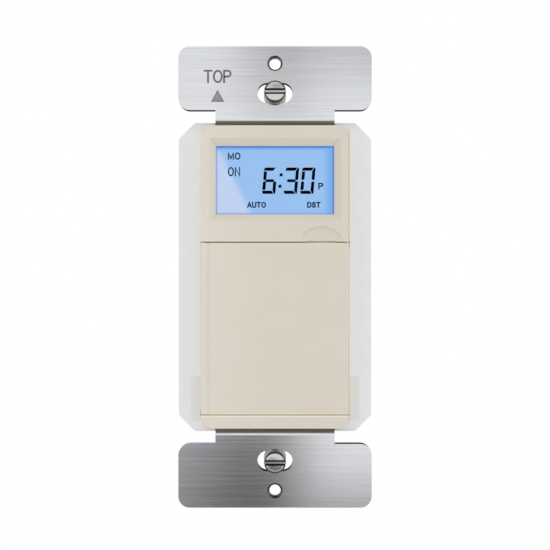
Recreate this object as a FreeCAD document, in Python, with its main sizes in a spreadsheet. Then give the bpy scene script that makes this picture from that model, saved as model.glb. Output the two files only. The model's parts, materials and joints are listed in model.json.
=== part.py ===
import FreeCAD, Part
import os
import re
import Sketcher
from FreeCAD import Rotation, Vector

# In-wall astronomic timer, built the way it comes apart on a bench. Millimetres, +X right,
# +Y into the wall, +Z up. The origin is the middle of the two wall plate holes, on the front
# face of the mounting strap, so everything with a negative Y stands in front of the wall.

doc = FreeCAD.newDocument("astronomic_timer")
sheet = doc.addObject("Spreadsheet::Sheet", "sizes")
dimensions = {
    # Mounting strap: one steel stamping with two ears, two necks and a frame between them.
    "ear_margin": 3.83,
    "strap_width": 43.8,
    "strap_thick": 1.8,
    "strap_corner": 2.6,
    "slot_step": 3.87,
    "ear_overhang": 8.4,
    "neck_step": 1.95,
    "bend_inside": 0.3,
    "frame_bar": 3.2,
    "frame_end_bar": 5.2,
    "hole_step": 6.75,
    "plate_hole_radius": 1.38,
    "plate_hole_mouth": 0.35,
    "neck_gap": 0.45,
    "slot_length": 8.0,
    "slot_width": 4.6,
    "seat_radius": 2.77,
    "seat_depth": 0.9,

    # Captive screws for the wall box: the neck is thinner than the thread, so its washer can't drop off.
    "screw_head_radius": 2.48,
    "screw_head_height": 3.1,
    "screw_dome_radius": 5.5,
    "screw_drive_width": 1.05,
    "screw_drive_depth": 1.1,
    "screw_shank_radius": 1.75,
    "screw_neck_radius": 1.4,
    "screw_length": 20.0,
    "washer_radius": 2.55,
    "washer_thick": 0.8,
    "washer_float": 2.2,
    "running_gap": 0.04,

    # Housing behind the strap ears: a front half with the deck, and a deep rear half.
    "body_proud": 0.25,
    "body_sink": 0.15,
    "body_corner": 3.7,
    "body_soft": 1.4,
    "deck_level": 3.0,
    "deck_thick": 1.6,
    "parting_level": 8.0,
    "relay_room": 0.8,
    "body_wall": 1.8,
    "notch_gap": 0.2,
    "slip": 0.05,
    "deck_rim": 1.0,
    "patch_side": 2.75,
    "patch_height": 10.3,
    "patch_end": 2.3,
    "patch_depth": 0.4,
    "boss_inset": 4.75,
    "boss_end": 6.5,
    "boss_radius": 2.5,
    "housing_screw_radius": 1.25,
    "housing_screw_head_radius": 2.1,
    "housing_screw_head_height": 1.6,
    "housing_screw_bite": 2.6,
    "post_step": 6.4,
    "post_radius": 1.5,
    "lead_plate_end": 7.9,
    "lead_plate_width": 24.0,
    "lead_plate_height": 7.6,
    "lead_plate_lip": 1.1,
    "lead_plate_stand": 1.0,
    "lead_pitch": 5.6,
    "lead_hole_radius": 1.6,

    # Face frame around the display and the door.
    "face_width": 32.8,
    "face_height": 6.6,
    "face_corner": 2.05,
    "face_wall": 1.5,
    "face_skin": 2.2,
    "face_round": 0.45,
    "gap_round": 0.2,
    "display_z": 21.4,
    "display_width": 26.1,
    "display_height": 15.1,
    "display_bevel": 1.55,
    "display_room_gap": 0.5,
    "scoop_x": 10.15,
    "scoop_half_width": 4.5,
    "scoop_height": 3.3,
    "scoop_depth": 1.5,
    "hook_width": 5.0,
    "hook_step": 4.5,
    "hook_thick": 1.0,
    "hook_barb": 0.75,
    "hook_barb_height": 1.0,

    # Door over the keys, one moulding with a living hinge down its left side.
    "door_step": 4.7,
    "door_foot": 3.03,
    "door_gap": 0.4,
    "door_thick": 1.6,
    "door_rest": 0.1,
    "door_inset": 0.14,
    "door_round": 0.5,
    "hinge_x": 14.56,
    "hinge_gap": 0.36,
    "web_thick": 0.3,
    "web_sink": 0.05,
    "hinge_slope": 0.2,
    "door_ledge": 0.9,
    "catch_width": 6.0,
    "catch_thick": 0.8,

    # Key deck behind the door, and its keys.
    "key_deck_drop": 3.2,
    "key_deck_thick": 1.2,
    "key_stand": 0.95,
    "key_gap": 0.12,
    "key_flange": 0.55,
    "key_flange_thick": 0.6,
    "key_round": 0.3,
    "upper_row_step": 3.5,
    "row_pitch": 6.8,
    "onoff_x": -6.2,
    "onoff_width": 14.0,
    "key_width": 5.2,
    "key_height": 4.2,
    "key_pitch": 7.0,
    "reset_x": 9.4,
    "reset_radius": 0.9,
    "reset_sink": 0.4,
    "mat_thick": 0.5,
    "mat_foot": 0.8,

    # Coin cell, its well, contacts and cover.
    "cell_radius": 8.0,
    "cell_thick": 3.2,
    "cell_x": -1.5,
    "cover_foot": 1.42,
    "cell_gap": 0.3,
    "well_wall": 0.9,
    "cell_lift": 0.1,
    "cover_width": 19.4,
    "cover_height": 16.9,
    "cover_thick": 0.95,
    "cover_grip_width": 7.0,
    "cover_grip_height": 1.6,
    "cover_grip_depth": 0.4,
    "guide_width": 0.8,
    "clip_thick": 0.25,
    "clip_width": 4.0,
    "clip_foot_width": 2.4,
    "cell_cap_height": 0.3,
    "cell_cap_radius": 6.9,
    "leaf_radius": 4.4,

    # Display sandwich.
    "glass_side_lap": 0.75,
    "glass_end_lap": 1.75,
    "strip_gap": 0.4,
    "glass_thick": 0.9,
    "window_thick": 0.8,
    "film_gap": 0.1,
    "holder_wall": 0.8,
    "holder_gap": 0.1,
    "holder_side_gap": 0.2,
    "guide_thick": 1.8,
    "guide_lap": 0.2,
    "led_width": 1.0,
    "led_length": 3.2,
    "strip_width": 1.4,
    "strip_length": 25.0,

    # Control board behind the face.
    "board_level": 2.2,
    "board_thick": 1.2,
    "board_side_gap": 0.8,
    "board_end_gap": 1.1,
    "board_post_x": 12.2,
    "board_post_top": 9.0,
    "board_post_end": 2.1,
    "board_post_radius": 1.8,
    "board_screw_radius": 0.95,
    "board_screw_head": 1.7,
    "board_screw_head_height": 1.0,
    "board_screw_bite": 3.2,
    "chip_side": 9.0,
    "chip_thick": 1.5,
    "chip_z": 20.5,
    "crystal_radius": 1.0,
    "crystal_length": 6.2,
    "crystal_x": 9.2,
    "crystal_z": 20.5,
    "socket_length": 15.6,
    "socket_width": 5.0,
    "socket_height": 3.6,
    "header_z": 2.5,
    "pin_pitch": 2.54,
    "pin_side": 0.64,

    # Power board and what stands on it.
    "sheet_thick": 0.3,
    "sheet_side": 0.9,
    "sheet_over": 0.6,
    "power_level": 12.4,
    "power_thick": 1.6,
    "power_side_gap": 0.65,
    "power_end_gap": 1.0,
    "relay_x": -6.2,
    "relay_end": 5.8,
    "relay_width": 19.0,
    "relay_depth": 15.4,
    "relay_height": 14.4,
    "relay_wall": 0.7,
    "relay_base_thick": 1.6,
    "coil_gap": 0.35,
    "coil_radius": 4.1,
    "coil_height": 8.4,
    "core_radius": 1.6,
    "core_stand": 0.4,
    "yoke_thick": 1.0,
    "armature_thick": 0.8,
    "armature_width": 7.0,
    "armature_gap": 0.5,
    "contact_gap": 1.0,
    "contact_radius": 1.2,
    "storage_radius": 5.0,
    "storage_height": 12.5,
    "storage_gap": 2.9,
    "storage_end": 7.4,
    "film_width": 17.5,
    "film_depth": 6.0,
    "film_height": 12.0,
    "film_gap_below": 2.4,
    "varistor_radius": 4.5,
    "varistor_thick": 3.6,
    "varistor_gap": 4.2,
    "fuse_radius": 2.2,
    "fuse_length": 15.0,
    "fuse_cap_length": 3.4,
    "fuse_cap_wall": 0.3,
    "fuse_gap": 1.6,
    "diode_radius": 1.35,
    "diode_length": 5.2,
    "diode_pitch": 3.3,
    "diode_gap": 3.45,
    "resistor_radius": 1.9,
    "resistor_length": 9.0,
    "resistor_side": 1.2,
    "resistor_gap": 1.5,
    "tab_width": 2.6,
    "tab_thick": 0.8,
    "tab_end": 3.0,
    "tab_height": 6.4,
    "rivet_radius": 1.4,
    "rivet_head_radius": 2.3,
    "rivet_head_height": 0.8,
    "ground_width": 5.0,
    "ground_height": 4.4,
    "ground_thick": 0.8,
}
for row, (alias, number) in enumerate(dimensions.items(), 1):
    sheet.set("A%d" % row, alias)
    sheet.set("B%d" % row, str(number))
    sheet.setAlias("B%d" % row, alias)
doc.recompute()

# What follows from those: the display's place sets the face, the face sets the strap and its
# holes, the strap's width sets the housing, and the tallest part inside sets the depth.
derived = {
    "glass_width": "display_width + 2 * glass_side_lap",
    "front_glass_height": "display_height + 2 * glass_end_lap",
    "rear_glass_height": "front_glass_height - 2 * strip_width - 2 * strip_gap",
    "guide_height": "rear_glass_height - 2 * guide_lap",
    "holder_height": "front_glass_height + 2 * holder_gap + 2 * holder_wall",
    "face_length": "2 * (display_z + holder_height / 2 + holder_side_gap + face_wall)",
    "door_top": "display_z - display_height / 2 - display_bevel - door_step",
    "door_bottom": "face_length / 2 - door_foot",
    "display_room_bottom": "display_z - holder_height / 2 - display_room_gap",
    "upper_row_z": "door_top - upper_row_step",
    "lower_row_z": "upper_row_z - row_pitch",
    "cell_z": "cover_foot + cover_height / 2 - door_bottom",
    "board_width": "face_width - 2 * face_wall - 2 * board_side_gap",
    "board_length": "face_length - 2 * face_wall - 2 * board_end_gap",
    "board_post_bottom": "board_length / 2 - board_post_end",
    "bend_start": "face_length / 2 + neck_gap + strap_thick + bend_inside",
    "ear_start": "bend_start + neck_step",
    "neck_width": "strap_width - 2 * ear_overhang",
    "box_screw_spacing": "2 * (ear_start + slot_step)",
    "plate_hole_spacing": "box_screw_spacing + 2 * hole_step",
    "strap_length": "plate_hole_spacing + 2 * ear_margin",
    "body_width": "strap_width + 2 * body_proud",
    "body_length": "2 * (bend_start - bend_inside - body_sink)",
    "body_back": "power_level + power_thick + relay_height + relay_room + body_wall",
    "patch_half_width": "body_width / 2 - patch_side",
    "patch_bottom": "body_length / 2 - patch_end",
    "patch_top": "patch_bottom - patch_height",
    "boss_x": "body_width / 2 - boss_inset",
    "boss_z": "body_length / 2 - boss_end",
    "post_z": "boss_z - post_step",
    "hook_z": "post_z - hook_step",
    "power_width": "body_width - 2 * body_wall - 2 * power_side_gap",
    "power_length": "2 * (boss_z - boss_radius - power_end_gap)",
    "sheet_width": "2 * (boss_x - post_radius - sheet_side)",
    "sheet_length": "power_length + 2 * sheet_over",
    "lead_plate_z": "power_length / 2 - lead_plate_end",
    "tab_z": "power_length / 2 - tab_end",
    "relay_z": "power_length / 2 - relay_end - relay_depth / 2",
    "storage_x": "relay_x + relay_width / 2 + storage_gap + storage_radius",
    "storage_z": "power_length / 2 - storage_end - storage_radius",
    "film_z": "relay_z - relay_depth / 2 - film_gap_below - film_depth / 2",
    "varistor_z": "storage_z - storage_radius - varistor_gap - varistor_thick / 2",
    "fuse_z": "film_z - film_depth / 2 - fuse_gap - fuse_radius",
    "diode_z": "varistor_z - varistor_thick / 2 - diode_gap - diode_radius",
    "resistor_x": "resistor_side + resistor_length / 2 - power_width / 2",
    "resistor_z": "fuse_z - fuse_radius - resistor_gap - resistor_radius",
}
measures = doc.addObject("App::FeaturePython", "measures")

words = re.compile(r"[a-z][a-z_]+")
nodes = []


def formula(text):
    def owned(found):
        word = found.group(0)
        return ("measures." if word in derived else "sizes.") + word

    return words.sub(owned, text)


def value(name):
    return getattr(measures, name) if name in derived else float(sheet.get(name))


for name in derived:
    measures.addProperty("App::PropertyFloat", name)
for name in derived:
    measures.setExpression(name, formula(derived[name]))
doc.recompute()


def bind(item, formulas):
    for prop in formulas:
        item.setExpression(prop, formula(formulas[prop]))


def around(centre, width):
    """Low and high ends of a width that is centred."""
    return ("(%s) - (%s) / 2" % (centre, width), "(%s) + (%s) / 2" % (centre, width))


def past(start, length):
    """Low and high ends of a length that begins at a level."""
    return (start, "(%s) + (%s)" % (start, length))


def span(ends):
    return "(%s) - (%s)" % (ends[1], ends[0])


def middle(ends):
    return "((%s) + (%s)) / 2" % (ends[0], ends[1])


def keep(item, name):
    item.Label = name
    nodes.append(item)
    return item


# Primitives and booleans.

def block(name, x, y, z):
    item = doc.addObject("Part::Box", name)
    bind(item, {"Length": span(x), "Width": span(y), "Height": span(z)})
    bind(item, {"Placement.Base.x": x[0], "Placement.Base.y": y[0], "Placement.Base.z": z[0]})
    return item


def rod_back(name, radius, x, y, z):
    """Cylinder whose axis runs into the wall."""
    item = doc.addObject("Part::Cylinder", name)
    item.Placement.Rotation = Rotation(Vector(1, 0, 0), -90)
    bind(item, {"Radius": radius, "Height": span(y)})
    bind(item, {"Placement.Base.x": x, "Placement.Base.y": y[0], "Placement.Base.z": z})
    return item


def rod_across(name, radius, x, y, z):
    """Cylinder whose axis runs left to right."""
    item = doc.addObject("Part::Cylinder", name)
    item.Placement.Rotation = Rotation(Vector(0, 1, 0), 90)
    bind(item, {"Radius": radius, "Height": span(x)})
    bind(item, {"Placement.Base.x": x[0], "Placement.Base.y": y, "Placement.Base.z": z})
    return item


def rod_up(name, radius, x, y, z):
    """Cylinder whose axis stands up."""
    item = doc.addObject("Part::Cylinder", name)
    bind(item, {"Radius": radius, "Height": span(z)})
    bind(item, {"Placement.Base.x": x, "Placement.Base.y": y, "Placement.Base.z": z[0]})
    return item


def joined(name, pieces):
    item = doc.addObject("Part::MultiFuse", name)
    item.Shapes = pieces
    return item


def without(name, base, tool):
    item = doc.addObject("Part::Cut", name)
    item.Base = base
    item.Tool = tool
    return item


def shared(name, first, second):
    item = doc.addObject("Part::Common", name)
    item.Base = first
    item.Tool = second
    return item


def grouped(name, pieces):
    item = doc.addObject("Part::Compound", name)
    item.Links = pieces
    return item


# Bodies built feature by feature, with sketches seen from the front.

def new_body(name):
    return doc.addObject("PartDesign::Body", name)


def front_sketch(body, name, x, y, z):
    sketch = body.newObject("Sketcher::SketchObject", name)
    plane = [item for item in body.Origin.OriginFeatures if item.Role == "XZ_Plane"][0]
    sketch.AttachmentSupport = [(plane, "")]
    sketch.MapMode = "FlatFace"
    bind(sketch, {
        "AttachmentOffset.Base.x": x,
        "AttachmentOffset.Base.y": z,
        "AttachmentOffset.Base.z": "-(%s)" % y,
    })
    return sketch


def draw_rectangle(sketch, width, height):
    corners = [Vector(-3, -2, 0), Vector(3, -2, 0), Vector(3, 2, 0), Vector(-3, 2, 0)]
    for index in range(4):
        sketch.addGeometry(Part.LineSegment(corners[index], corners[(index + 1) % 4]), False)
    for index in range(4):
        sketch.addConstraint(Sketcher.Constraint("Coincident", index, 2, (index + 1) % 4, 1))
    for index in (0, 2):
        sketch.addConstraint(Sketcher.Constraint("Horizontal", index))
        sketch.addConstraint(Sketcher.Constraint("Vertical", index + 1))
    sketch.addConstraint(Sketcher.Constraint("Symmetric", 0, 1, 2, 1, -1, 1))
    across = sketch.addConstraint(Sketcher.Constraint("DistanceX", 0, 1, 0, 2, 6.0))
    upward = sketch.addConstraint(Sketcher.Constraint("DistanceY", 1, 1, 1, 2, 4.0))
    bind(sketch, {"Constraints[%d]" % across: width, "Constraints[%d]" % upward: height})


def draw_circle(sketch, radius):
    sketch.addGeometry(Part.Circle(Vector(0, 0, 0), Vector(0, 0, 1), 2.0), False)
    sketch.addConstraint(Sketcher.Constraint("Coincident", 0, 3, -1, 1))
    round_size = sketch.addConstraint(Sketcher.Constraint("Radius", 0, 2.0))
    bind(sketch, {"Constraints[%d]" % round_size: radius})


def pad(body, sketch, name, length):
    feature = body.newObject("PartDesign::Pad", name)
    feature.Profile = sketch
    feature.Reversed = True
    bind(feature, {"Length": length})
    return feature


def pocket(body, sketch, name, length):
    feature = body.newObject("PartDesign::Pocket", name)
    feature.Profile = sketch
    bind(feature, {"Length": length})
    return feature


def add_block(body, name, x, y, z):
    sketch = front_sketch(body, name + "_outline", middle(x), y[0], middle(z))
    draw_rectangle(sketch, span(x), span(z))
    return pad(body, sketch, name, span(y))


def cut_block(body, name, x, y, z):
    sketch = front_sketch(body, name + "_outline", middle(x), y[0], middle(z))
    draw_rectangle(sketch, span(x), span(z))
    return pocket(body, sketch, name, span(y))


def add_rod(body, name, radius, x, y, z):
    sketch = front_sketch(body, name + "_outline", x, y[0], z)
    draw_circle(sketch, radius)
    return pad(body, sketch, name, span(y))


def cut_rod(body, name, radius, x, y, z):
    sketch = front_sketch(body, name + "_outline", x, y[0], z)
    draw_circle(sketch, radius)
    return pocket(body, sketch, name, span(y))


def edges_where(feature, wanted):
    doc.recompute()
    edges = feature.Shape.Edges
    return ["Edge%d" % (index + 1) for index, edge in enumerate(edges) if wanted(edge)]


def round_edges(body, name, radius, wanted):
    tip = body.Tip
    chosen = edges_where(tip, wanted)
    feature = body.newObject("PartDesign::Fillet", name)
    feature.Base = (tip, chosen)
    bind(feature, {"Radius": radius})
    return feature


def slope_edges(body, name, width, wanted):
    tip = body.Tip
    chosen = edges_where(tip, wanted)
    feature = body.newObject("PartDesign::Chamfer", name)
    feature.Base = (tip, chosen)
    bind(feature, {"Size": width})
    return feature


def near(first, second):
    return abs(first - second) < 0.01


def direction(edge):
    start = edge.valueAt(edge.FirstParameter)
    end = edge.valueAt(edge.LastParameter)
    return end - start


def runs_back(edge):
    run = direction(edge)
    return abs(run.y) > 0.01 and near(run.x, 0) and near(run.z, 0)


def runs_across(edge):
    run = direction(edge)
    return abs(run.x) > 0.01 and near(run.y, 0) and near(run.z, 0)


def runs_up(edge):
    run = direction(edge)
    return abs(run.z) > 0.01 and near(run.x, 0) and near(run.y, 0)


def at_level(edge, level):
    return near(edge.BoundBox.YMin, level) and near(edge.BoundBox.YMax, level)


# Heights and levels that several pieces share.
neck_inner = "bend_start - strap_thick - bend_inside"
neck_outer = "bend_start - bend_inside"
outer_bend = "strap_thick + bend_inside"
frame_back = "parting_level + strap_thick"
face_front = "-face_height"
skin_back = "face_skin - face_height"
door_back = "door_thick - face_height"
rail_front = "door_thick + door_rest - face_height"
key_deck_front = "key_deck_drop - face_height"
key_deck_back = "key_deck_drop + key_deck_thick - face_height"
board_back = "board_level + board_thick"
power_back = "power_level + power_thick"
door_upper = "door_top - door_gap / 2"
door_lower = "-door_bottom + door_gap / 2"
door_middle = middle((door_lower, door_upper))
catch_x = "face_width / 2 - face_wall - catch_thick"
both_sides = (("right", ""), ("left", "-"))
both_ends = (("upper", ""), ("lower", "-"))


def make_mounting_strap():
    body = new_body("mounting_strap")
    add_block(body, "frame_plate", around("0", "neck_width"), ("parting_level", frame_back),
              around("0", "2 * (%s)" % neck_outer))
    for end, sign in both_ends:
        neck = around("%s(%s + %s) / 2" % (sign, neck_inner, neck_outer), "strap_thick")
        add_block(body, "neck_" + end, around("0", "neck_width"), ("0", frame_back), neck)
        root = around("%s(%s + ear_start) / 2" % (sign, neck_inner), "ear_start - (%s)" % neck_inner)
        add_block(body, "root_" + end, around("0", "neck_width"), ("0", "strap_thick"), root)
    inner = value("bend_start") - value("strap_thick") - value("bend_inside")
    outer = value("bend_start") - value("bend_inside")
    back = value("parting_level") + value("strap_thick")

    def outside_bend(edge):
        reach = abs(edge.CenterOfMass.z)
        front_bend = at_level(edge, 0) and near(reach, inner)
        rear_bend = at_level(edge, back) and near(reach, outer)
        return runs_across(edge) and (front_bend or rear_bend)

    def inside_bend(edge):
        reach = abs(edge.CenterOfMass.z)
        front_bend = at_level(edge, value("strap_thick")) and near(reach, outer)
        rear_bend = at_level(edge, value("parting_level")) and near(reach, inner)
        return runs_across(edge) and (front_bend or rear_bend)

    round_edges(body, "outside_bends", outer_bend, outside_bend)
    round_edges(body, "inside_bends", "bend_inside", inside_bend)
    for end, sign in both_ends:
        ear = around("%s(strap_length / 2 + ear_start) / 2" % sign, "strap_length / 2 - ear_start")
        add_block(body, "ear_" + end, around("0", "strap_width"), ("0", "strap_thick"), ear)

    def ear_corner(edge):
        return runs_back(edge) and near(abs(edge.CenterOfMass.x), value("strap_width") / 2)

    round_edges(body, "ear_corners", "strap_corner", ear_corner)
    window_length = "2 * (%s - frame_end_bar)" % neck_inner
    cut_block(body, "frame_window", around("0", "neck_width - 2 * frame_bar"),
              ("parting_level", frame_back), around("0", window_length))
    for end, sign in both_ends:
        plate_z = "%splate_hole_spacing / 2" % sign
        box_z = "%sbox_screw_spacing / 2" % sign
        cut_rod(body, "plate_hole_" + end, "plate_hole_radius", "0", ("0", "strap_thick"), plate_z)
        cut_block(body, "slot_" + end, around("0", "slot_length - slot_width"), ("0", "strap_thick"),
                  around(box_z, "slot_width"))
        for side, turn in both_sides:
            slot_end = "%s(slot_length - slot_width) / 2" % turn
            cut_rod(body, "slot_%s_%s" % (end, side), "slot_width / 2", slot_end,
                    ("0", "strap_thick"), box_z)
        cut_rod(body, "seat_" + end, "seat_radius", "0", ("0", "seat_depth"), box_z)
    ground_z = "-(%s) + frame_end_bar / 2" % neck_inner
    cut_rod(body, "ground_hole", "rivet_radius + slip / 2", "0", ("parting_level", frame_back), ground_z)

    def plate_mouth(edge):
        reach = abs(edge.BoundBox.Center.z)
        return at_level(edge, 0) and near(reach, value("plate_hole_spacing") / 2)

    slope_edges(body, "plate_hole_mouths", "plate_hole_mouth", plate_mouth)
    keep(body, "mounting_strap")


def make_box_screws():
    for end, sign in both_ends:
        z = "%sbox_screw_spacing / 2" % sign
        top = "seat_depth - screw_head_height"
        head = rod_back("head_" + end, "screw_head_radius", "0", (top, "seat_depth"), z)
        dome = doc.addObject("Part::Sphere", "dome_" + end)
        dome.Placement.Rotation = Rotation(Vector(1, 0, 0), -90)
        bind(dome, {
            "Radius": "screw_dome_radius",
            "Placement.Base.y": top + " + screw_dome_radius",
            "Placement.Base.z": z,
        })
        crown = shared("crown_" + end, head, dome)
        thread_start = "strap_thick + washer_float + washer_thick + notch_gap"
        neck = rod_back("neck_" + end, "screw_neck_radius", "0",
                        ("seat_depth - slip", thread_start + " + slip"), z)
        shank = rod_back("shank_" + end, "screw_shank_radius", "0", (thread_start, "screw_length"), z)
        whole = joined("whole_screw_" + end, [crown, neck, shank])
        drive = block("drive_" + end, around("0", "3 * screw_head_radius"),
                      past(top + " - slip", "screw_drive_depth"), around(z, "screw_drive_width"))
        keep(without("driven_screw_" + end, whole, drive), "box_screw_" + end)
        level = past("strap_thick + washer_float", "washer_thick")
        disc = rod_back("disc_" + end, "washer_radius", "0", level, z)
        bore = rod_back("disc_bore_" + end, "screw_neck_radius + running_gap", "0", level, z)
        keep(without("ring_" + end, disc, bore), "screw_washer_" + end)


def corner_places(x, z):
    places = []
    for end, rise in both_ends:
        for side, turn in both_sides:
            places.append((end + "_" + side, turn + x, rise + z))
    return places


def bevel_corners(body):
    """The four long corners of a housing half: a bevel whose own two edges are softened."""

    def sharp_corner(edge):
        return runs_back(edge) and near(abs(edge.CenterOfMass.x), value("body_width") / 2)

    slope_edges(body, "corners", "body_corner", sharp_corner)
    round_edges(body, "soft_corners", "body_soft", runs_back)


def make_front_housing():
    body = new_body("front_housing")
    add_block(body, "shell", around("0", "body_width"), ("deck_level", "parting_level"),
              around("0", "body_length"))

    bevel_corners(body)
    notch_floor = "%s - bend_inside - slip" % neck_inner
    room_length = "2 * (%s - body_wall)" % notch_floor
    cut_block(body, "room", around("0", "body_width - 2 * body_wall"),
              ("deck_level + deck_thick", "parting_level"), around("0", room_length))
    for end, sign in both_ends:
        depth = "body_length / 2 - (%s)" % notch_floor
        centre = "%s(body_length / 2 + %s) / 2" % (sign, notch_floor)
        cut_block(body, "neck_notch_" + end, around("0", "neck_width + 2 * notch_gap"),
                  ("deck_level", "parting_level"), around(centre, depth))
    cut_block(body, "deck_opening", around("0", "face_width - 2 * face_wall"),
              ("deck_level", "deck_level + deck_thick"), around("0", "face_length - 2 * face_wall"))
    for side, turn in both_sides:
        for end, rise in both_ends:
            edge_x = around("%s(face_width / 2 - deck_rim - hook_thick)" % turn, "2 * hook_thick")
            cut_block(body, "hook_slot_%s_%s" % (side, end), edge_x,
                      ("deck_level", "deck_level + deck_thick"),
                      around(rise + "hook_z", "hook_width + 2 * notch_gap"))
    cut_block(body, "lower_patch", around("0", "2 * patch_half_width"),
              ("deck_level", "deck_level + patch_depth"), ("-patch_bottom", "-patch_top"))
    for place, x, z in corner_places("boss_x", "boss_z"):
        add_rod(body, "boss_" + place, "boss_radius", x,
                ("deck_level + deck_thick - slip", "parting_level"), z)
    for place, x, z in corner_places("boss_x", "post_z"):
        add_rod(body, "post_" + place, "post_radius", x,
                ("deck_level + deck_thick - slip", "power_level"), z)
    for place, x, z in corner_places("boss_x", "boss_z"):
        cut_rod(body, "pilot_" + place, "housing_screw_radius + running_gap", x,
                ("parting_level - housing_screw_bite - slip", "parting_level"), z)
    keep(body, "front_housing")


def make_rear_housing():
    body = new_body("rear_housing")
    add_block(body, "shell", around("0", "body_width"), ("parting_level", "body_back"),
              around("0", "body_length"))

    bevel_corners(body)
    room_level = ("parting_level", "body_back - body_wall")
    cut_block(body, "wide_room", around("0", "body_width - 2 * body_wall"), room_level,
              around("0", "body_length - 2 * body_corner"))
    cut_block(body, "tall_room", around("0", "body_width - 2 * body_corner"), room_level,
              around("0", "body_length - 2 * body_wall"))
    for end, sign in both_ends:
        centre = "%s(body_length - body_wall) / 2" % sign
        cut_block(body, "strap_notch_" + end, around("0", "neck_width + 2 * notch_gap"),
                  ("parting_level", frame_back + " + slip"), around(centre, "body_wall"))
    for place, x, z in corner_places("boss_x", "boss_z"):
        add_rod(body, "column_" + place, "boss_radius", x,
                ("parting_level", "body_back - body_wall + slip"), z)
    for place, x, z in corner_places("boss_x", "post_z"):
        add_rod(body, "support_" + place, "post_radius", x,
                (power_back, "body_back - body_wall + slip"), z)
    for place, x, z in corner_places("boss_x", "boss_z"):
        cut_rod(body, "screw_way_" + place, "housing_screw_radius + running_gap", x,
                ("parting_level", "body_back"), z)
        cut_rod(body, "screw_seat_" + place, "housing_screw_head_radius + notch_gap", x,
                ("body_back - housing_screw_head_height - notch_gap", "body_back"), z)
    cut_block(body, "lead_window", around("0", "lead_plate_width + 2 * slip"),
              ("body_back - body_wall", "body_back"),
              around("-lead_plate_z", "lead_plate_height + 2 * slip"))
    keep(body, "rear_housing")


def make_housing_screws():
    pieces = []
    seat = "body_back - notch_gap"
    for place, x, z in corner_places("boss_x", "boss_z"):
        head_level = (seat + " - housing_screw_head_height", seat)
        head = rod_back("long_head_" + place, "housing_screw_head_radius", x, head_level, z)
        shank = rod_back("long_shank_" + place, "housing_screw_radius", x,
                         ("parting_level - housing_screw_bite", seat + " - slip"), z)
        screw = joined("long_screw_" + place, [head, shank])
        drive = block("long_drive_" + place, around(x, "3 * housing_screw_head_radius"),
                      (seat + " - housing_screw_head_height / 2", seat + " + slip"),
                      around(z, "housing_screw_radius / 2"))
        pieces.append(without("long_driven_" + place, screw, drive))
    keep(grouped("long_screws", pieces), "housing_screws")


def make_lead_bushing():
    body = new_body("lead_bushing")
    outside = ("body_back", "body_back + lead_plate_stand")
    add_block(body, "lip", around("0", "lead_plate_width + 2 * lead_plate_lip"), outside,
              around("-lead_plate_z", "lead_plate_height + 2 * lead_plate_lip"))
    add_block(body, "plug", around("0", "lead_plate_width"),
              ("body_back - body_wall - lead_plate_lip", "body_back"),
              around("-lead_plate_z", "lead_plate_height"))
    for index in range(4):
        x = "%s * lead_pitch" % (index - 1.5)
        cut_rod(body, "lead_hole_%d" % index, "lead_hole_radius", x,
                ("body_back - body_wall - lead_plate_lip", "body_back + lead_plate_stand"), "-lead_plate_z")

    def lip_edge(edge):
        across = runs_across(edge) or runs_up(edge)
        return across and at_level(edge, value("body_back") + value("lead_plate_stand"))

    round_edges(body, "soft_lip", "key_round", lip_edge)
    keep(body, "lead_bushing")


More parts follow.
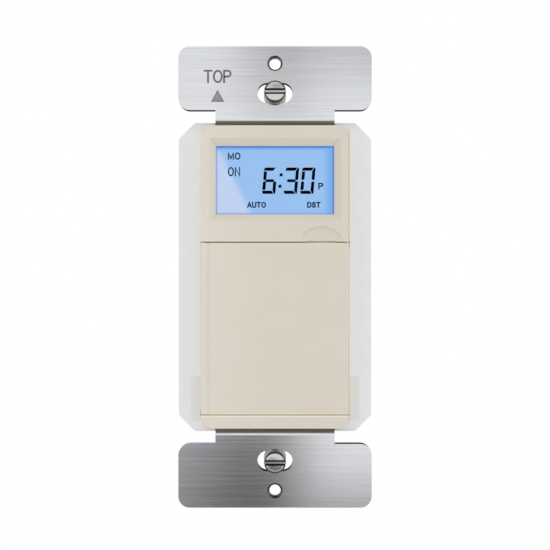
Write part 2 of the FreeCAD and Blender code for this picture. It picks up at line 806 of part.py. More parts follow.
def make_face_frame():
    body = new_body("face_frame")
    inner_width = "face_width - 2 * face_wall"
    inner_length = "face_length - 2 * face_wall"
    outline = around("0", "face_length")
    add_block(body, "face", around("0", "face_width"), (face_front, "deck_level"), outline)

    def outer_corner(edge):
        return runs_back(edge) and near(abs(edge.CenterOfMass.x), value("face_width") / 2)

    round_edges(body, "face_corners", "face_corner", outer_corner)

    def front_rim(edge):
        return at_level(edge, -value("face_height"))

    round_edges(body, "face_rim", "face_round", front_rim)
    cut_block(body, "hollow", around("0", inner_width), (key_deck_back, "deck_level"),
              around("0", inner_length))
    cut_block(body, "display_room", around("0", inner_width), (skin_back, key_deck_back),
              ("display_room_bottom", "face_length / 2 - face_wall"))
    gap_top = "door_top + door_gap / 2"
    gap_bottom = "-door_bottom - door_gap / 2"
    cut_block(body, "door_recess", around("0", "face_width + 2 * door_gap"), (face_front, rail_front),
              (gap_bottom, gap_top))
    well_bottom = "-door_bottom + door_gap / 2 + door_ledge"
    cut_block(body, "key_well", around("0", inner_width), (rail_front, key_deck_front),
              (well_bottom, gap_top))
    cut_block(body, "display_opening", around("0", "display_width"), (face_front, skin_back),
              around("display_z", "display_height"))

    def display_rim(edge):
        inside = abs(edge.CenterOfMass.x) < value("display_width") / 2 + 0.01
        tall = abs(edge.CenterOfMass.z - value("display_z")) < value("display_height") / 2 + 0.01
        return at_level(edge, -value("face_height")) and inside and tall

    slope_edges(body, "display_slope", "display_bevel", display_rim)
    upper_gap = value("door_top") + value("door_gap") / 2
    lower_gap = -value("door_bottom") - value("door_gap") / 2

    def gap_rim(edge):
        level = near(edge.CenterOfMass.z, upper_gap) or near(edge.CenterOfMass.z, lower_gap)
        return level and runs_across(edge) and at_level(edge, -value("face_height"))

    round_edges(body, "gap_rims", "gap_round", gap_rim)
    scoop = body.newObject("PartDesign::SubtractiveEllipsoid", "finger_scoop")
    bind(scoop, {
        "Radius1": "scoop_height",
        "Radius2": "scoop_half_width",
        "Radius3": "scoop_depth",
        "Placement.Base.x": "scoop_x",
        "Placement.Base.y": face_front,
        "Placement.Base.z": gap_top,
    })
    for side, turn in both_sides:
        for end, rise in both_ends:
            name = "hook_%s_%s" % (side, end)
            rise_z = around(rise + "hook_z", "hook_width")
            stem = around("%s(face_width / 2 - deck_rim - hook_thick / 2 - slip)" % turn, "hook_thick")
            add_block(body, name, stem,
                      ("board_level + slip", "deck_level + deck_thick + hook_barb_height + slip"), rise_z)
            barb = around("%s(face_width / 2 - deck_rim - slip + hook_barb / 2 - slip)" % turn, "hook_barb")
            add_block(body, name + "_barb", barb,
                      past("deck_level + deck_thick + slip", "hook_barb_height"), rise_z)
    for name, x, z, width, height in key_places():
        if height:
            cut_block(body, name + "_hole", around(x, "%s + 2 * key_gap" % width),
                      (key_deck_front, key_deck_back), around(z, "%s + 2 * key_gap" % height))
        else:
            cut_rod(body, name + "_hole", width + " + key_gap", x, (key_deck_front, key_deck_back), z)
    well_back = "%s + cell_lift + cell_thick" % key_deck_back
    add_rod(body, "cell_ring", "cell_radius + cell_gap + well_wall", "cell_x",
            (key_deck_back + " - slip", well_back), "cell_z")
    cut_rod(body, "cell_well", "cell_radius + cell_gap", "cell_x", (key_deck_front, well_back), "cell_z")
    cut_block(body, "clip_way", past("cell_x + cell_radius", "cell_gap + well_wall + slip"),
              (key_deck_back, well_back), around("cell_z", "clip_width + 2 * notch_gap"))
    for end, rise in both_ends:
        rib = "cell_z + %s(cover_height / 2 + running_gap + guide_width / 2)" % rise
        add_block(body, "cover_guide_" + end, around("0", inner_width),
                  ("%s - cover_thick" % key_deck_front, key_deck_front), around(rib, "guide_width"))
    board_posts = board_post_places()
    for name, x, z in board_posts:
        add_rod(body, "board_post_" + name, "board_post_radius", x,
                (key_deck_back + " - slip", "board_level"), z)
    for name, x, z in board_posts:
        cut_rod(body, "board_pilot_" + name, "board_screw_radius + running_gap", x,
                ("board_level - board_screw_bite - slip", "board_level"), z)
    cut_block(body, "catch_slot", past(catch_x, "catch_thick + notch_gap"),
              (rail_front, key_deck_back), around(door_middle, "catch_width + 2 * notch_gap"))
    keep(body, "face_frame")


def board_post_places():
    places = []
    for side, turn in both_sides:
        places.append(("high_" + side, turn + "board_post_x", "board_post_top"))
        places.append(("low_" + side, turn + "board_post_x", "-board_post_bottom"))
    return places


def key_places():
    """Name, middle and size of each key; the round reset key has a radius and no height."""
    places = [("onoff_button", "onoff_x", "upper_row_z", "onoff_width", "key_height")]
    for index, name in enumerate(("mode_button", "set_button", "minus_button", "plus_button")):
        x = "%s * key_pitch" % (index - 1.5)
        places.append((name, x, "lower_row_z", "key_width", "key_height"))
    places.append(("reset_button", "reset_x", "upper_row_z", "reset_radius", ""))
    return places


def make_keys():
    flange = past(key_deck_back + " + film_gap", "key_flange_thick")
    for name, x, z, width, height in key_places():
        body = new_body(name)
        if height:
            add_block(body, name + "_flange", around(x, width + " + 2 * key_flange"), flange,
                      around(z, height + " + 2 * key_flange"))
            front = "%s - key_stand" % key_deck_front
            add_block(body, name + "_cap", around(x, width), (front, flange[0]), around(z, height))

            def cap_edge(edge):
                ahead = edge.BoundBox.YMin < value("key_deck_drop") - value("face_height")
                flat = at_level(edge, edge.BoundBox.YMin)
                return ahead and (flat or runs_back(edge))

            round_edges(body, name + "_soft", "key_round", cap_edge)
        else:
            add_rod(body, name + "_flange", width + " + 2 * key_flange", x, flange, z)
            front = "%s + reset_sink" % key_deck_front
            add_rod(body, name + "_cap", width, x, (front, flange[0]), z)
        keep(body, name)


def make_key_mat():
    body = new_body("key_mat")
    sheet_top = "upper_row_z + key_height / 2 + mat_foot"
    sheet_bottom = "lower_row_z - key_height / 2 - mat_foot"
    sheet_level = ("board_level - mat_thick", "board_level")
    add_block(body, "mat", around("0", "4 * key_pitch - 2 * mat_foot"), sheet_level,
              (sheet_bottom, sheet_top))
    top = "%s + film_gap + key_flange_thick" % key_deck_back
    for name, x, z, width, height in key_places():
        if height:
            add_block(body, name + "_dome", around(x, width + " - 2 * mat_foot"), (top, sheet_level[0]),
                      around(z, height + " - 2 * mat_foot"))
        else:
            add_rod(body, name + "_dome", width + " + mat_foot", x, (top, sheet_level[0]), z)
    keep(body, "key_mat")


def make_door():
    """Strip, web and panel are one moulding that bends at the web."""
    length = (door_lower, door_upper)
    level = (face_front, door_back)
    outer = "face_width / 2 - door_inset"
    strip = new_body("door_hinge_strip")
    add_block(strip, "strip", ("-(%s)" % outer, "-hinge_x - hinge_gap / 2"), level, length)

    def outside_edge(edge):
        outside = abs(edge.CenterOfMass.x) > value("face_width") / 2 - value("door_inset") - 0.01
        return outside and runs_up(edge) and at_level(edge, -value("face_height"))

    def end_edge(edge):
        return runs_across(edge) and at_level(edge, -value("face_height"))

    def hinge_edge(edge):
        reach = abs(abs(edge.CenterOfMass.x) - value("hinge_x"))
        at_hinge = near(reach, value("hinge_gap") / 2) and runs_up(edge)
        return at_hinge and at_level(edge, -value("face_height"))

    slope_edges(strip, "strip_hinge_slope", "hinge_slope", hinge_edge)
    round_edges(strip, "strip_side", "door_round", outside_edge)
    round_edges(strip, "strip_ends", "gap_round", end_edge)
    add_block(strip, "strip_foot", around("-(face_width - face_wall) / 2", "face_wall / 2"),
              (door_back, rail_front), length)
    keep(strip, "door_hinge_strip")
    web_level = past(face_front + " + web_sink", "web_thick")
    web = block("web", around("-hinge_x", "hinge_gap"), web_level, length)
    keep(web, "door_web")
    panel = new_body("door_panel")
    add_block(panel, "panel", ("-hinge_x + hinge_gap / 2", outer), level, length)
    slope_edges(panel, "panel_hinge_slope", "hinge_slope", hinge_edge)
    round_edges(panel, "panel_side", "door_round", outside_edge)
    round_edges(panel, "panel_ends", "gap_round", end_edge)
    add_block(panel, "catch", past(catch_x, "catch_thick - notch_gap"), (door_back, key_deck_front),
              around(door_middle, "catch_width"))
    keep(panel, "door_panel")


def make_battery_parts():
    can_level = past(key_deck_back + " + cell_lift", "cell_thick - cell_cap_height")
    can = rod_back("cell_can", "cell_radius", "cell_x", can_level, "cell_z")
    cap_level = past(can_level[1], "cell_cap_height")
    cap = rod_back("cell_cap", "cell_cap_radius", "cell_x", cap_level, "cell_z")
    keep(joined("cell", [can, cap]), "coin_cell")
    leaf_level = ("board_level - clip_thick", "board_level")
    leaf_foot = rod_back("leaf_foot", "leaf_radius", "cell_x", leaf_level, "cell_z")
    spring = doc.addObject("Part::Cone", "leaf_spring")
    spring.Placement.Rotation = Rotation(Vector(1, 0, 0), -90)
    bind(spring, {
        "Radius1": "leaf_radius / 4",
        "Radius2": "leaf_radius / 2",
        "Height": span((cap_level[1], leaf_level[0])),
        "Placement.Base.x": "cell_x",
        "Placement.Base.y": cap_level[1],
        "Placement.Base.z": "cell_z",
    })
    keep(joined("leaf", [leaf_foot, spring]), "battery_leaf")
    clip_x = "cell_x + cell_radius + slip"
    clip_z = around("cell_z", "clip_width")
    blade = block("clip_blade", past(clip_x, "clip_thick"), (key_deck_back + " + slip", "board_level"),
                  clip_z)
    foot = block("clip_foot", past(clip_x, "clip_foot_width"), leaf_level, clip_z)
    keep(joined("clip", [blade, foot]), "battery_clip")
    cover = new_body("battery_cover")
    level = past("%s - cover_thick" % key_deck_front, "cover_thick")
    add_block(cover, "cover", around("cell_x", "cover_width"), level, around("cell_z", "cover_height"))
    for index in range(3):
        z = "cell_z + %d * 2 * cover_grip_height" % (index - 1)
        cut_block(cover, "grip_%d" % index, around("cell_x", "cover_grip_width"),
                  past(level[0], "cover_grip_depth"), around(z, "cover_grip_height"))
    keep(cover, "battery_cover")


def make_display():
    centre = "display_z"
    window_level = past(skin_back, "window_thick")
    front_level = past(window_level[1] + " + film_gap", "glass_thick")
    rear_level = past(front_level[1], "glass_thick")
    guide_level = past(rear_level[1] + " + film_gap", "guide_thick")
    sheet_level = past(guide_level[1], "sheet_thick")
    tall = around(centre, "front_glass_height")
    wide = around("0", "glass_width")
    rear_tall = around(centre, "rear_glass_height")
    keep(block("window", wide, window_level, tall), "display_window")
    keep(block("front_glass", wide, front_level, tall), "display_front_glass")
    keep(block("rear_glass", wide, rear_level, rear_tall), "display_rear_glass")
    guide_x = ("-glass_width / 2 + led_width + 2 * film_gap", "glass_width / 2")
    guide = block("guide", guide_x, guide_level, around(centre, "guide_height"))
    keep(guide, "light_guide")
    sheet_back = block("mirror_sheet", guide_x, sheet_level, around(centre, "guide_height"))
    keep(sheet_back, "reflector_sheet")
    led_x = past("-glass_width / 2 + film_gap", "led_width")
    leds = []
    for end, sign in both_ends:
        led_z = around("%s %sled_length" % (centre, sign or "+"), "led_length")
        leds.append(block("led_" + end, led_x, (guide_level[0], "board_level"), led_z))
    keep(grouped("leds", leds), "backlight_leds")
    holder = new_body("display_holder")
    outer_width = "glass_width + 2 * holder_gap + 2 * holder_wall"
    add_block(holder, "holder_block", around("0", outer_width), (skin_back, "board_level"),
              around(centre, "holder_height"))
    cut_block(holder, "holder_room", around("0", "glass_width + 2 * holder_gap"),
              (skin_back, "board_level"), around(centre, "front_glass_height + 2 * holder_gap"))
    keep(holder, "display_holder")
    strips = []
    for end, sign in both_ends:
        place = "%s %s(front_glass_height - strip_width) / 2" % (centre, sign or "+")
        strips.append(block("strip_" + end, around("0", "strip_length"), (front_level[1], "board_level"),
                            around(place, "strip_width")))
    keep(grouped("strips", strips), "contact_strips")


def make_control_board():
    board = new_body("control_board")
    add_block(board, "board", around("0", "board_width"), past("board_level", "board_thick"),
              around("0", "board_length"))
    for name, x, z in board_post_places():
        cut_rod(board, "board_hole_" + name, "board_screw_radius + 2 * running_gap", x,
                past("board_level", "board_thick"), z)
    keep(board, "control_board")
    screws = []
    for name, x, z in board_post_places():
        shank = rod_back("short_shank_" + name, "board_screw_radius", x,
                         ("board_level - board_screw_bite", board_back + " + slip"), z)
        head = rod_back("short_head_" + name, "board_screw_head", x,
                        past(board_back, "board_screw_head_height"), z)
        screws.append(joined("short_screw_" + name, [shank, head]))
    keep(grouped("short_screws", screws), "board_screws")
    chip_level = past(board_back + " + film_gap", "chip_thick")
    pieces = [block("chip", around("0", "chip_side"), chip_level, around("chip_z", "chip_side"))]
    for index in range(8):
        run = "%s * chip_side / 9" % (index - 3.5)
        pin_level = (board_back, board_back + " + chip_thick / 2")
        for side, turn in both_sides:
            x = "%s(chip_side / 2 + pin_side / 2 - slip)" % turn
            pieces.append(block("chip_pin_%s_%d" % (side, index), around(x, "pin_side"), pin_level,
                                around("chip_z + " + run, "pin_side / 2")))
    keep(joined("chip_package", pieces), "microcontroller")
    can_y = board_back + " + crystal_radius"
    keep(rod_up("crystal", "crystal_radius", "crystal_x", can_y, around("crystal_z", "crystal_length")),
         "clock_crystal")
    parts = []
    for index in range(6):
        z = "chip_z - chip_side - %d * pin_pitch" % (index % 3)
        x = "%s * 3 * pin_pitch" % (index // 3 - 0.5)
        parts.append(block("chip_part_%d" % index, around(x, "pin_pitch"), past(board_back, "pin_side"),
                           around(z, "pin_pitch / 2")))
    keep(grouped("small_parts", parts), "chip_parts")
    socket_level = past(board_back, "socket_height")
    socket = block("socket", around("0", "socket_length"), socket_level, around("header_z", "socket_width"))
    holes = []
    pins = []
    base = block("header_base", around("0", "socket_length"),
                 ("power_level - socket_height / 2", "power_level"), around("header_z", "socket_width"))
    for index in range(12):
        x = "%s * pin_pitch" % (index // 2 - 2.5)
        z = "header_z + %s * pin_pitch" % (index % 2 - 0.5)
        holes.append(block("pin_hole_%d" % index, around(x, "pin_side + 2 * slip"),
                           (socket_level[0] + " + pin_side", socket_level[1]),
                           around(z, "pin_side + 2 * slip")))
        pins.append(block("pin_%d" % index, around(x, "pin_side"),
                          (socket_level[0] + " + 2 * pin_side", "power_level"), around(z, "pin_side")))
    keep(without("bored_socket", socket, grouped("pin_holes", holes)), "header_socket")
    keep(joined("header", [base] + pins), "header_pins")


def make_power_board():
    sheet_level = ("power_level - sheet_thick", "power_level")
    film = block("film", around("0", "sheet_width"), sheet_level, around("0", "sheet_length"))
    film_way = block("film_way", around("0", "socket_length + 2 * notch_gap"), sheet_level,
                     around("header_z", "socket_width + 2 * notch_gap"))
    keep(without("cut_film", film, film_way), "insulating_sheet")
    board = block("power", around("0", "power_width"), past("power_level", "power_thick"),
                  around("0", "power_length"))
    keep(board, "power_board")


def make_relay():
    wide = around("relay_x", "relay_width")
    deep = around("relay_z", "relay_depth")
    level = past(power_back, "relay_height")
    cover = new_body("relay_cover")
    add_block(cover, "cover_block", wide, level, deep)
    cut_block(cover, "cover_room", around("relay_x", "relay_width - 2 * relay_wall"),
              (power_back, level[1] + " - relay_wall"), around("relay_z", "relay_depth - 2 * relay_wall"))
    keep(cover, "relay_cover")
    inside = "relay_width - 2 * relay_wall - 2 * slip"
    base_level = past(power_back, "relay_base_thick")
    base = block("relay_floor", around("relay_x", inside), base_level,
                 around("relay_z", "relay_depth - 2 * relay_wall - 2 * slip"))
    keep(base, "relay_base")
    yoke_x = past("relay_x - relay_width / 2 + relay_wall + slip", "yoke_thick")
    coil_x = "%s + coil_gap + coil_radius" % yoke_x[1]
    coil_level = past(base_level[1], "coil_height")
    winding = rod_back("winding", "coil_radius", coil_x, coil_level, "relay_z")
    core = rod_back("core", "core_radius", coil_x, (coil_level[0], coil_level[1] + " + core_stand"),
                    "relay_z")
    keep(joined("coil", [winding, core]), "relay_coil")
    yoke_level = (base_level[1], coil_level[1] + " + core_stand + armature_gap - slip")
    keep(block("yoke", yoke_x, yoke_level, around("relay_z", "armature_width")), "relay_yoke")
    plate_level = past(coil_level[1] + " + core_stand + armature_gap", "armature_thick")
    right = "relay_x + relay_width / 2 - relay_wall - yoke_thick"
    plate = block("armature_plate", (yoke_x[0] + " + slip", right), plate_level,
                  around("relay_z", "armature_width"))
    button_x = right + " - contact_radius"
    button = rod_back("moving_contact", "contact_radius", button_x,
                      (plate_level[0] + " - armature_gap", plate_level[0] + " + slip"), "relay_z")
    keep(joined("armature", [plate, button]), "relay_armature")
    fixed_top = plate_level[0] + " - armature_gap - contact_gap"
    post = block("contact_post", around(button_x, "contact_radius"), (base_level[1], fixed_top),
                 around("relay_z", "armature_width / 2"))
    keep(post, "relay_contact")


def make_power_parts():
    level = power_back
    storage = rod_back("storage", "storage_radius", "storage_x", past(level, "storage_height"), "storage_z")
    keep(storage, "storage_capacitor")
    film = block("film_body", around("relay_x", "film_width"), past(level, "film_height"),
                 around("film_z", "film_depth"))
    keep(film, "film_capacitor")
    disc_y = level + " + varistor_radius + pin_side"
    disc = rod_up("disc", "varistor_radius", "storage_x", disc_y, around("varistor_z", "varistor_thick"))
    leads = []
    for side, turn in both_sides:
        lead_x = "storage_x %s pin_pitch" % (turn or "+")
        leads.append(block("varistor_lead_" + side, around(lead_x, "pin_side"), (level, disc_y),
                           around("varistor_z", "pin_side")))
    keep(joined("varistor_body", [disc] + leads), "varistor")
    fuse_y = level + " + fuse_radius + fuse_cap_wall"
    tube_x = around("relay_x", "fuse_length - 2 * fuse_cap_wall - 2 * slip")
    keep(rod_across("tube", "fuse_radius", tube_x, fuse_y, "fuse_z"), "fuse_tube")
    caps = []
    for side, turn in both_sides:
        cap_x = around("relay_x + %s(fuse_length - fuse_cap_length) / 2" % turn, "fuse_cap_length")
        cap = rod_across("cap_" + side, "fuse_radius + fuse_cap_wall", cap_x, fuse_y, "fuse_z")
        room = rod_across("cap_room_" + side, "fuse_radius + slip",
                          around("relay_x", "fuse_length - 2 * fuse_cap_wall"), fuse_y, "fuse_z")
        foot = block("cap_foot_" + side, cap_x, (level, level + " + fuse_cap_wall"),
                     around("fuse_z", "2 * fuse_radius"))
        caps.append(joined("footed_cap_" + side, [without("cut_cap_" + side, cap, room), foot]))
    keep(grouped("caps", caps), "fuse_caps")
    diodes = []
    for index in range(4):
        z = "diode_z - %d * diode_pitch" % index
        axis_y = level + " + diode_radius"
        bulb = rod_across("diode_%d" % index, "diode_radius", around("storage_x", "diode_length"),
                          axis_y, z)
        wire = rod_across("diode_wire_%d" % index, "pin_side / 2",
                          around("storage_x", "2 * diode_length"), axis_y, z)
        diodes.append(joined("wired_diode_%d" % index, [bulb, wire]))
    keep(grouped("diodes", diodes), "rectifier_diodes")
    resistor_y = level + " + resistor_radius"
    keep(rod_across("resistor", "resistor_radius", around("resistor_x", "resistor_length"),
                    resistor_y, "resistor_z"), "dropper_resistor")
    tabs = []
    for index in range(4):
        x = "%s * lead_pitch" % (index - 1.5)
        tabs.append(block("tab_%d" % index, around(x, "tab_width"), past(level, "tab_height"),
                          around("-tab_z", "tab_thick")))
    keep(grouped("tabs", tabs), "lead_tabs")


def make_ground():
    z = "-(%s) + frame_end_bar / 2" % neck_inner
    tab_level = past(frame_back, "ground_thick")
    tab = block("ground_plate", around("0", "ground_width"), tab_level, around(z, "ground_height"))
    hole = rod_back("ground_eye", "rivet_radius + slip / 2", "0", tab_level, z)
    keep(without("ground_lug", tab, hole), "ground_terminal")
    stem = rod_back("rivet_stem", "rivet_radius", "0", ("parting_level", tab_level[1] + " + slip"), z)
    head = rod_back("rivet_head", "rivet_head_radius", "0", past(tab_level[1], "rivet_head_height"), z)
    keep(joined("rivet", [stem, head]), "ground_rivet")


make_mounting_strap()
make_box_screws()
make_front_housing()
make_rear_housing()
make_housing_screws()
make_lead_bushing()
make_face_frame()
make_door()
make_keys()
make_key_mat()
make_battery_parts()
make_display()
make_control_board()
make_power_board()
make_relay()
make_power_parts()
make_ground()
doc.recompute()

faults = []
for item in doc.Objects:
    if "Invalid" in item.State or "Error" in item.State:
        faults.append("%s is %s" % (item.Name, item.State))
for node in nodes:
    if node.Shape.isNull() or not node.Shape.isValid() or not node.Shape.Solids:
        faults.append("%s has no valid solid" % node.Label)
if faults:
    raise RuntimeError("; ".join(faults))
for item in doc.Objects:
    if item.TypeId in ("PartDesign::Pad", "PartDesign::Pocket") and item.BaseFeature:
        change = item.Shape.Volume - item.BaseFeature.Shape.Volume
        if (change <= 0) == (item.TypeId == "PartDesign::Pad"):
            faults.append("%s changes the volume by %.3f" % (item.Name, change))
if faults:
    raise RuntimeError("; ".join(faults))

os.makedirs("parts", exist_ok=True)
for node in nodes:
    node.Shape.exportStep("parts/%s.step" % node.Label)
    box = node.Shape.BoundBox
    print("%-22s %d solid(s) x %.2f..%.2f y %.2f..%.2f z %.2f..%.2f" % (
        node.Label, len(node.Shape.Solids), box.XMin, box.XMax, box.YMin, box.YMax, box.ZMin, box.ZMax))
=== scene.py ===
import json
import math
import bmesh
import bpy
from mathutils import Matrix, Vector

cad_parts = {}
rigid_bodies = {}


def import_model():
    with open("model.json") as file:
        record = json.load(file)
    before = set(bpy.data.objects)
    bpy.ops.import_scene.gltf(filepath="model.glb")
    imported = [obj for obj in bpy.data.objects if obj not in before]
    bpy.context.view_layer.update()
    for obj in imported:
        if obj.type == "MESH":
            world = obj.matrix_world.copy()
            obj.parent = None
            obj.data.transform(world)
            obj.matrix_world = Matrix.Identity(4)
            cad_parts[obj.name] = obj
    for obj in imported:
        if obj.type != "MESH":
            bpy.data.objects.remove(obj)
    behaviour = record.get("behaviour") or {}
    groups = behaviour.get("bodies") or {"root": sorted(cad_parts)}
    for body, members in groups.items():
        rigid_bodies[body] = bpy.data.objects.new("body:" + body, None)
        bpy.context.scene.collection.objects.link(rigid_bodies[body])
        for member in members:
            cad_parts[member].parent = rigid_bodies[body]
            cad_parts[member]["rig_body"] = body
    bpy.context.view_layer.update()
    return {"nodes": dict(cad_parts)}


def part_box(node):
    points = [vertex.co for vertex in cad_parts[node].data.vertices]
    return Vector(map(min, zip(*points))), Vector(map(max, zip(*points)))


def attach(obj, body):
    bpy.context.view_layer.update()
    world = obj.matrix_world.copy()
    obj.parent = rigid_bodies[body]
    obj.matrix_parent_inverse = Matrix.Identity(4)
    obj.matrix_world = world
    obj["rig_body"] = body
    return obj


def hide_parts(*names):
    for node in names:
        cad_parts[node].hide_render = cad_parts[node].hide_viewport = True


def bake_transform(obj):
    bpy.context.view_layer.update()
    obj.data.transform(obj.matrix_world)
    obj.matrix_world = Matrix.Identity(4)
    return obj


# In-wall astronomic timer. The file goes through the object in the order in which it is put
# together, from the mounting strap to the lead bushing, and ends with the stage, the lamps and
# the camera. Everything is in metres: +X right, +Y into the wall, +Z up, z = 0 midway.

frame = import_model()
MM = 0.001

# The mounting strap is one stamping of mild steel, zinc plated and brushed from side to side on
# a belt. The brushing lies along X, so that lamps smear up and down across it. Its sheared edges
# and bends carry painted shade, and its lower left edge a painted highlight. TOP and its arrow
# are etched into it in dark.


def linear(code):
    """Linear colour with alpha from an sRGB hex code."""
    channels = [int(code[place:place + 2], 16) / 255 for place in (1, 3, 5)]
    return [c / 12.92 if c <= 0.04045 else ((c + 0.055) / 1.055) ** 2.4 for c in channels] + [1.0]


def feed(node, given):
    """Sets each input of a node to a value, or links it to an output or to a node's first output."""
    for key, what in given.items():
        if isinstance(what, bpy.types.Node):
            what = next(output for output in what.outputs if output.enabled)
        if isinstance(what, bpy.types.NodeSocket):
            node.id_data.links.new(what, node.inputs[key])
        else:
            node.inputs[key].default_value = what


def put(tree, kind, given=None, **settings):
    """Adds one node with its settings and feeds its inputs; the kind is a shader node's by default."""
    made = tree.nodes.new(kind if "Node" in kind else "ShaderNode" + kind)
    for name, setting in settings.items():
        setattr(made, name, setting)
    feed(made, given or {})
    return made


def new_finish(name, code, roughness, **shader_values):
    """A material with a Principled shader; returns it, its tree, the shader and object coordinates."""
    material = bpy.data.materials.new(name)
    material.use_nodes = True
    tree = material.node_tree
    tree.nodes.clear()
    given = {"Base Color": linear(code), "Roughness": roughness}
    given.update({key.replace("_", " "): what for key, what in shader_values.items()})
    shader = put(tree, "BsdfPrincipled", given)
    put(tree, "OutputMaterial", {"Surface": shader.outputs["BSDF"]})
    place = put(tree, "TexCoord").outputs["Object"]
    return material, tree, shader, place


def brushed_steel():
    """Brushed zinc-plated steel: lines 0.2 mm apart and some 30 mm long, in bands of 1 mm.

    Bends and sheared edges have painted shade, and the lower left edge a painted highlight."""
    material, tree, shader, place = new_finish(
        "brushed_zinc_steel", "#E0E2E5", 0.15, Metallic=1.0, Anisotropic=0.6)
    upright = put(tree, "CombineXYZ", {"X": 0.0, "Y": 0.0, "Z": 1.0})
    drawn = put(tree, "Mapping", {"Vector": place, "Scale": (42, 5600, 5600)})
    lines = put(tree, "TexNoise", {"Vector": drawn, "Scale": 1.0, "Detail": 3.0, "Roughness": 0.6})
    broad = put(tree, "Mapping", {"Vector": place, "Scale": (24, 1700, 1700)})
    bands = put(tree, "TexNoise", {"Vector": broad, "Scale": 1.0, "Detail": 2.0})
    both = put(tree, "Mix", {"Factor": 0.18, "A": lines, "B": bands})
    tint = put(tree, "MapRange", {"Value": both, "From Min": 0.25, "From Max": 0.75})
    streaks = put(tree, "Mix", {"Factor": tint, "A": linear("#D7DADE"), "B": linear("#F1F2F4")},
                  data_type="RGBA")
    spot = put(tree, "SeparateXYZ", {"Vector": place}).outputs
    outward = put(tree, "Math", {0: spot["Z"]}, operation="ABSOLUTE")
    across = put(tree, "Math", {0: spot["X"], 1: spot["Z"]}, operation="ADD")
    # Painted edge shade, near black along the ears, with a painted highlight at the lower left.
    painted_edge_tone = linear("#878580")
    for where, start, end, code in (
            (outward, 36.0, 36.4, "#12141A"), (across, -48.5, -49.5, "#C5CDE0"),
            (outward, 45.9, 46.2, "#5E6166")):
        share = put(tree, "MapRange", {"Value": where, "From Min": start * MM, "From Max": end * MM})
        painted_edge_tone = put(tree, "Mix", {"Factor": share, "A": painted_edge_tone, "B": linear(code)},
                          data_type="RGBA")
    facing = put(tree, "SeparateXYZ", {"Vector": put(tree, "TexCoord").outputs["Normal"]})
    flat = put(tree, "Math", {0: facing.outputs["Y"]}, operation="ABSOLUTE")
    sheared = put(tree, "MapRange", {"Value": flat, "From Min": 0.955, "From Max": 0.9998,
                                     "To Min": 1.0, "To Max": 0.0})
    colour = put(tree, "Mix", {"Factor": sheared, "A": streaks, "B": painted_edge_tone}, data_type="RGBA")
    grip = put(tree, "MapRange", {"Value": bands, "From Min": 0.3, "From Max": 0.7, "To Min": 0.13,
                                  "To Max": 0.17})
    bump = put(tree, "Bump", {"Height": lines, "Strength": 0.5, "Distance": 0.003 * MM})
    feed(shader, {"Base Color": colour, "Specular Tint": colour, "Roughness": grip, "Normal": bump,
                  "Tangent": upright})
    return material


def dress(node, material):
    """Puts a finish on a CAD node as it stands."""
    mesh_object = frame["nodes"][node]
    for slot in mesh_object.material_slots:
        slot.material = material
    if not mesh_object.material_slots:
        mesh_object.data.materials.append(material)


def piece_from(name, mesh, materials, body, which=None):
    """A finished piece from a mesh that already lies in its place; which(face) picks a finish."""
    mesh.materials.clear()
    for material in materials if isinstance(materials, (list, tuple)) else [materials]:
        mesh.materials.append(material)
    for face in mesh.polygons:
        face.material_index = which(face) if which else 0
    piece = bpy.data.objects.new(name, mesh)
    bpy.context.scene.collection.objects.link(piece)
    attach(piece, body)
    return piece


def surfaced(name, code, drift, roughness, grain, depth, lay=(1, 1, 1), edge=0.0, **shader_values):
    """A finish whose fine grain bumps it and varies its gloss, over a slow drift of colour.

    Grain, depth and edge are in millimetres. The grain is stretched by lay, and edge rounds the
    light on sharp edges by that radius."""
    material, tree, shader, place = new_finish(name, code, roughness, **shader_values)
    along = put(tree, "Mapping", {"Vector": place, "Scale": lay})
    fine = put(tree, "TexNoise", {"Vector": along, "Scale": 1 / (grain * MM), "Detail": 4.0,
                                  "Roughness": 0.65})
    bump = put(tree, "Bump", {"Height": fine, "Strength": 0.6, "Distance": depth * MM})
    if edge:
        feed(bump, {"Normal": put(tree, "Bevel", {"Radius": edge * MM}, samples=6)})
    slow = put(tree, "TexNoise", {"Vector": along, "Scale": 1 / (14 * grain * MM), "Detail": 3.0})
    share = put(tree, "MapRange", {"Value": slow, "From Min": 0.3, "From Max": 0.7})
    colour = put(tree, "Mix", {"Factor": share, "A": linear(code), "B": linear(drift)},
                 data_type="RGBA")
    gloss = put(tree, "MapRange", {"Value": fine, "From Min": 0.3, "From Max": 0.7,
                                   "To Min": 0.85 * roughness, "To Max": 1.15 * roughness})
    feed(shader, {"Base Color": colour, "Roughness": gloss, "Normal": bump})
    return material


dress("mounting_strap", brushed_steel())
strap_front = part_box("mounting_strap")[0].y

# Strokes of each letter on a body one unit high, as runs of points; a run that ends where it
# starts is closed. A word is these runs drawn with one width of pen.

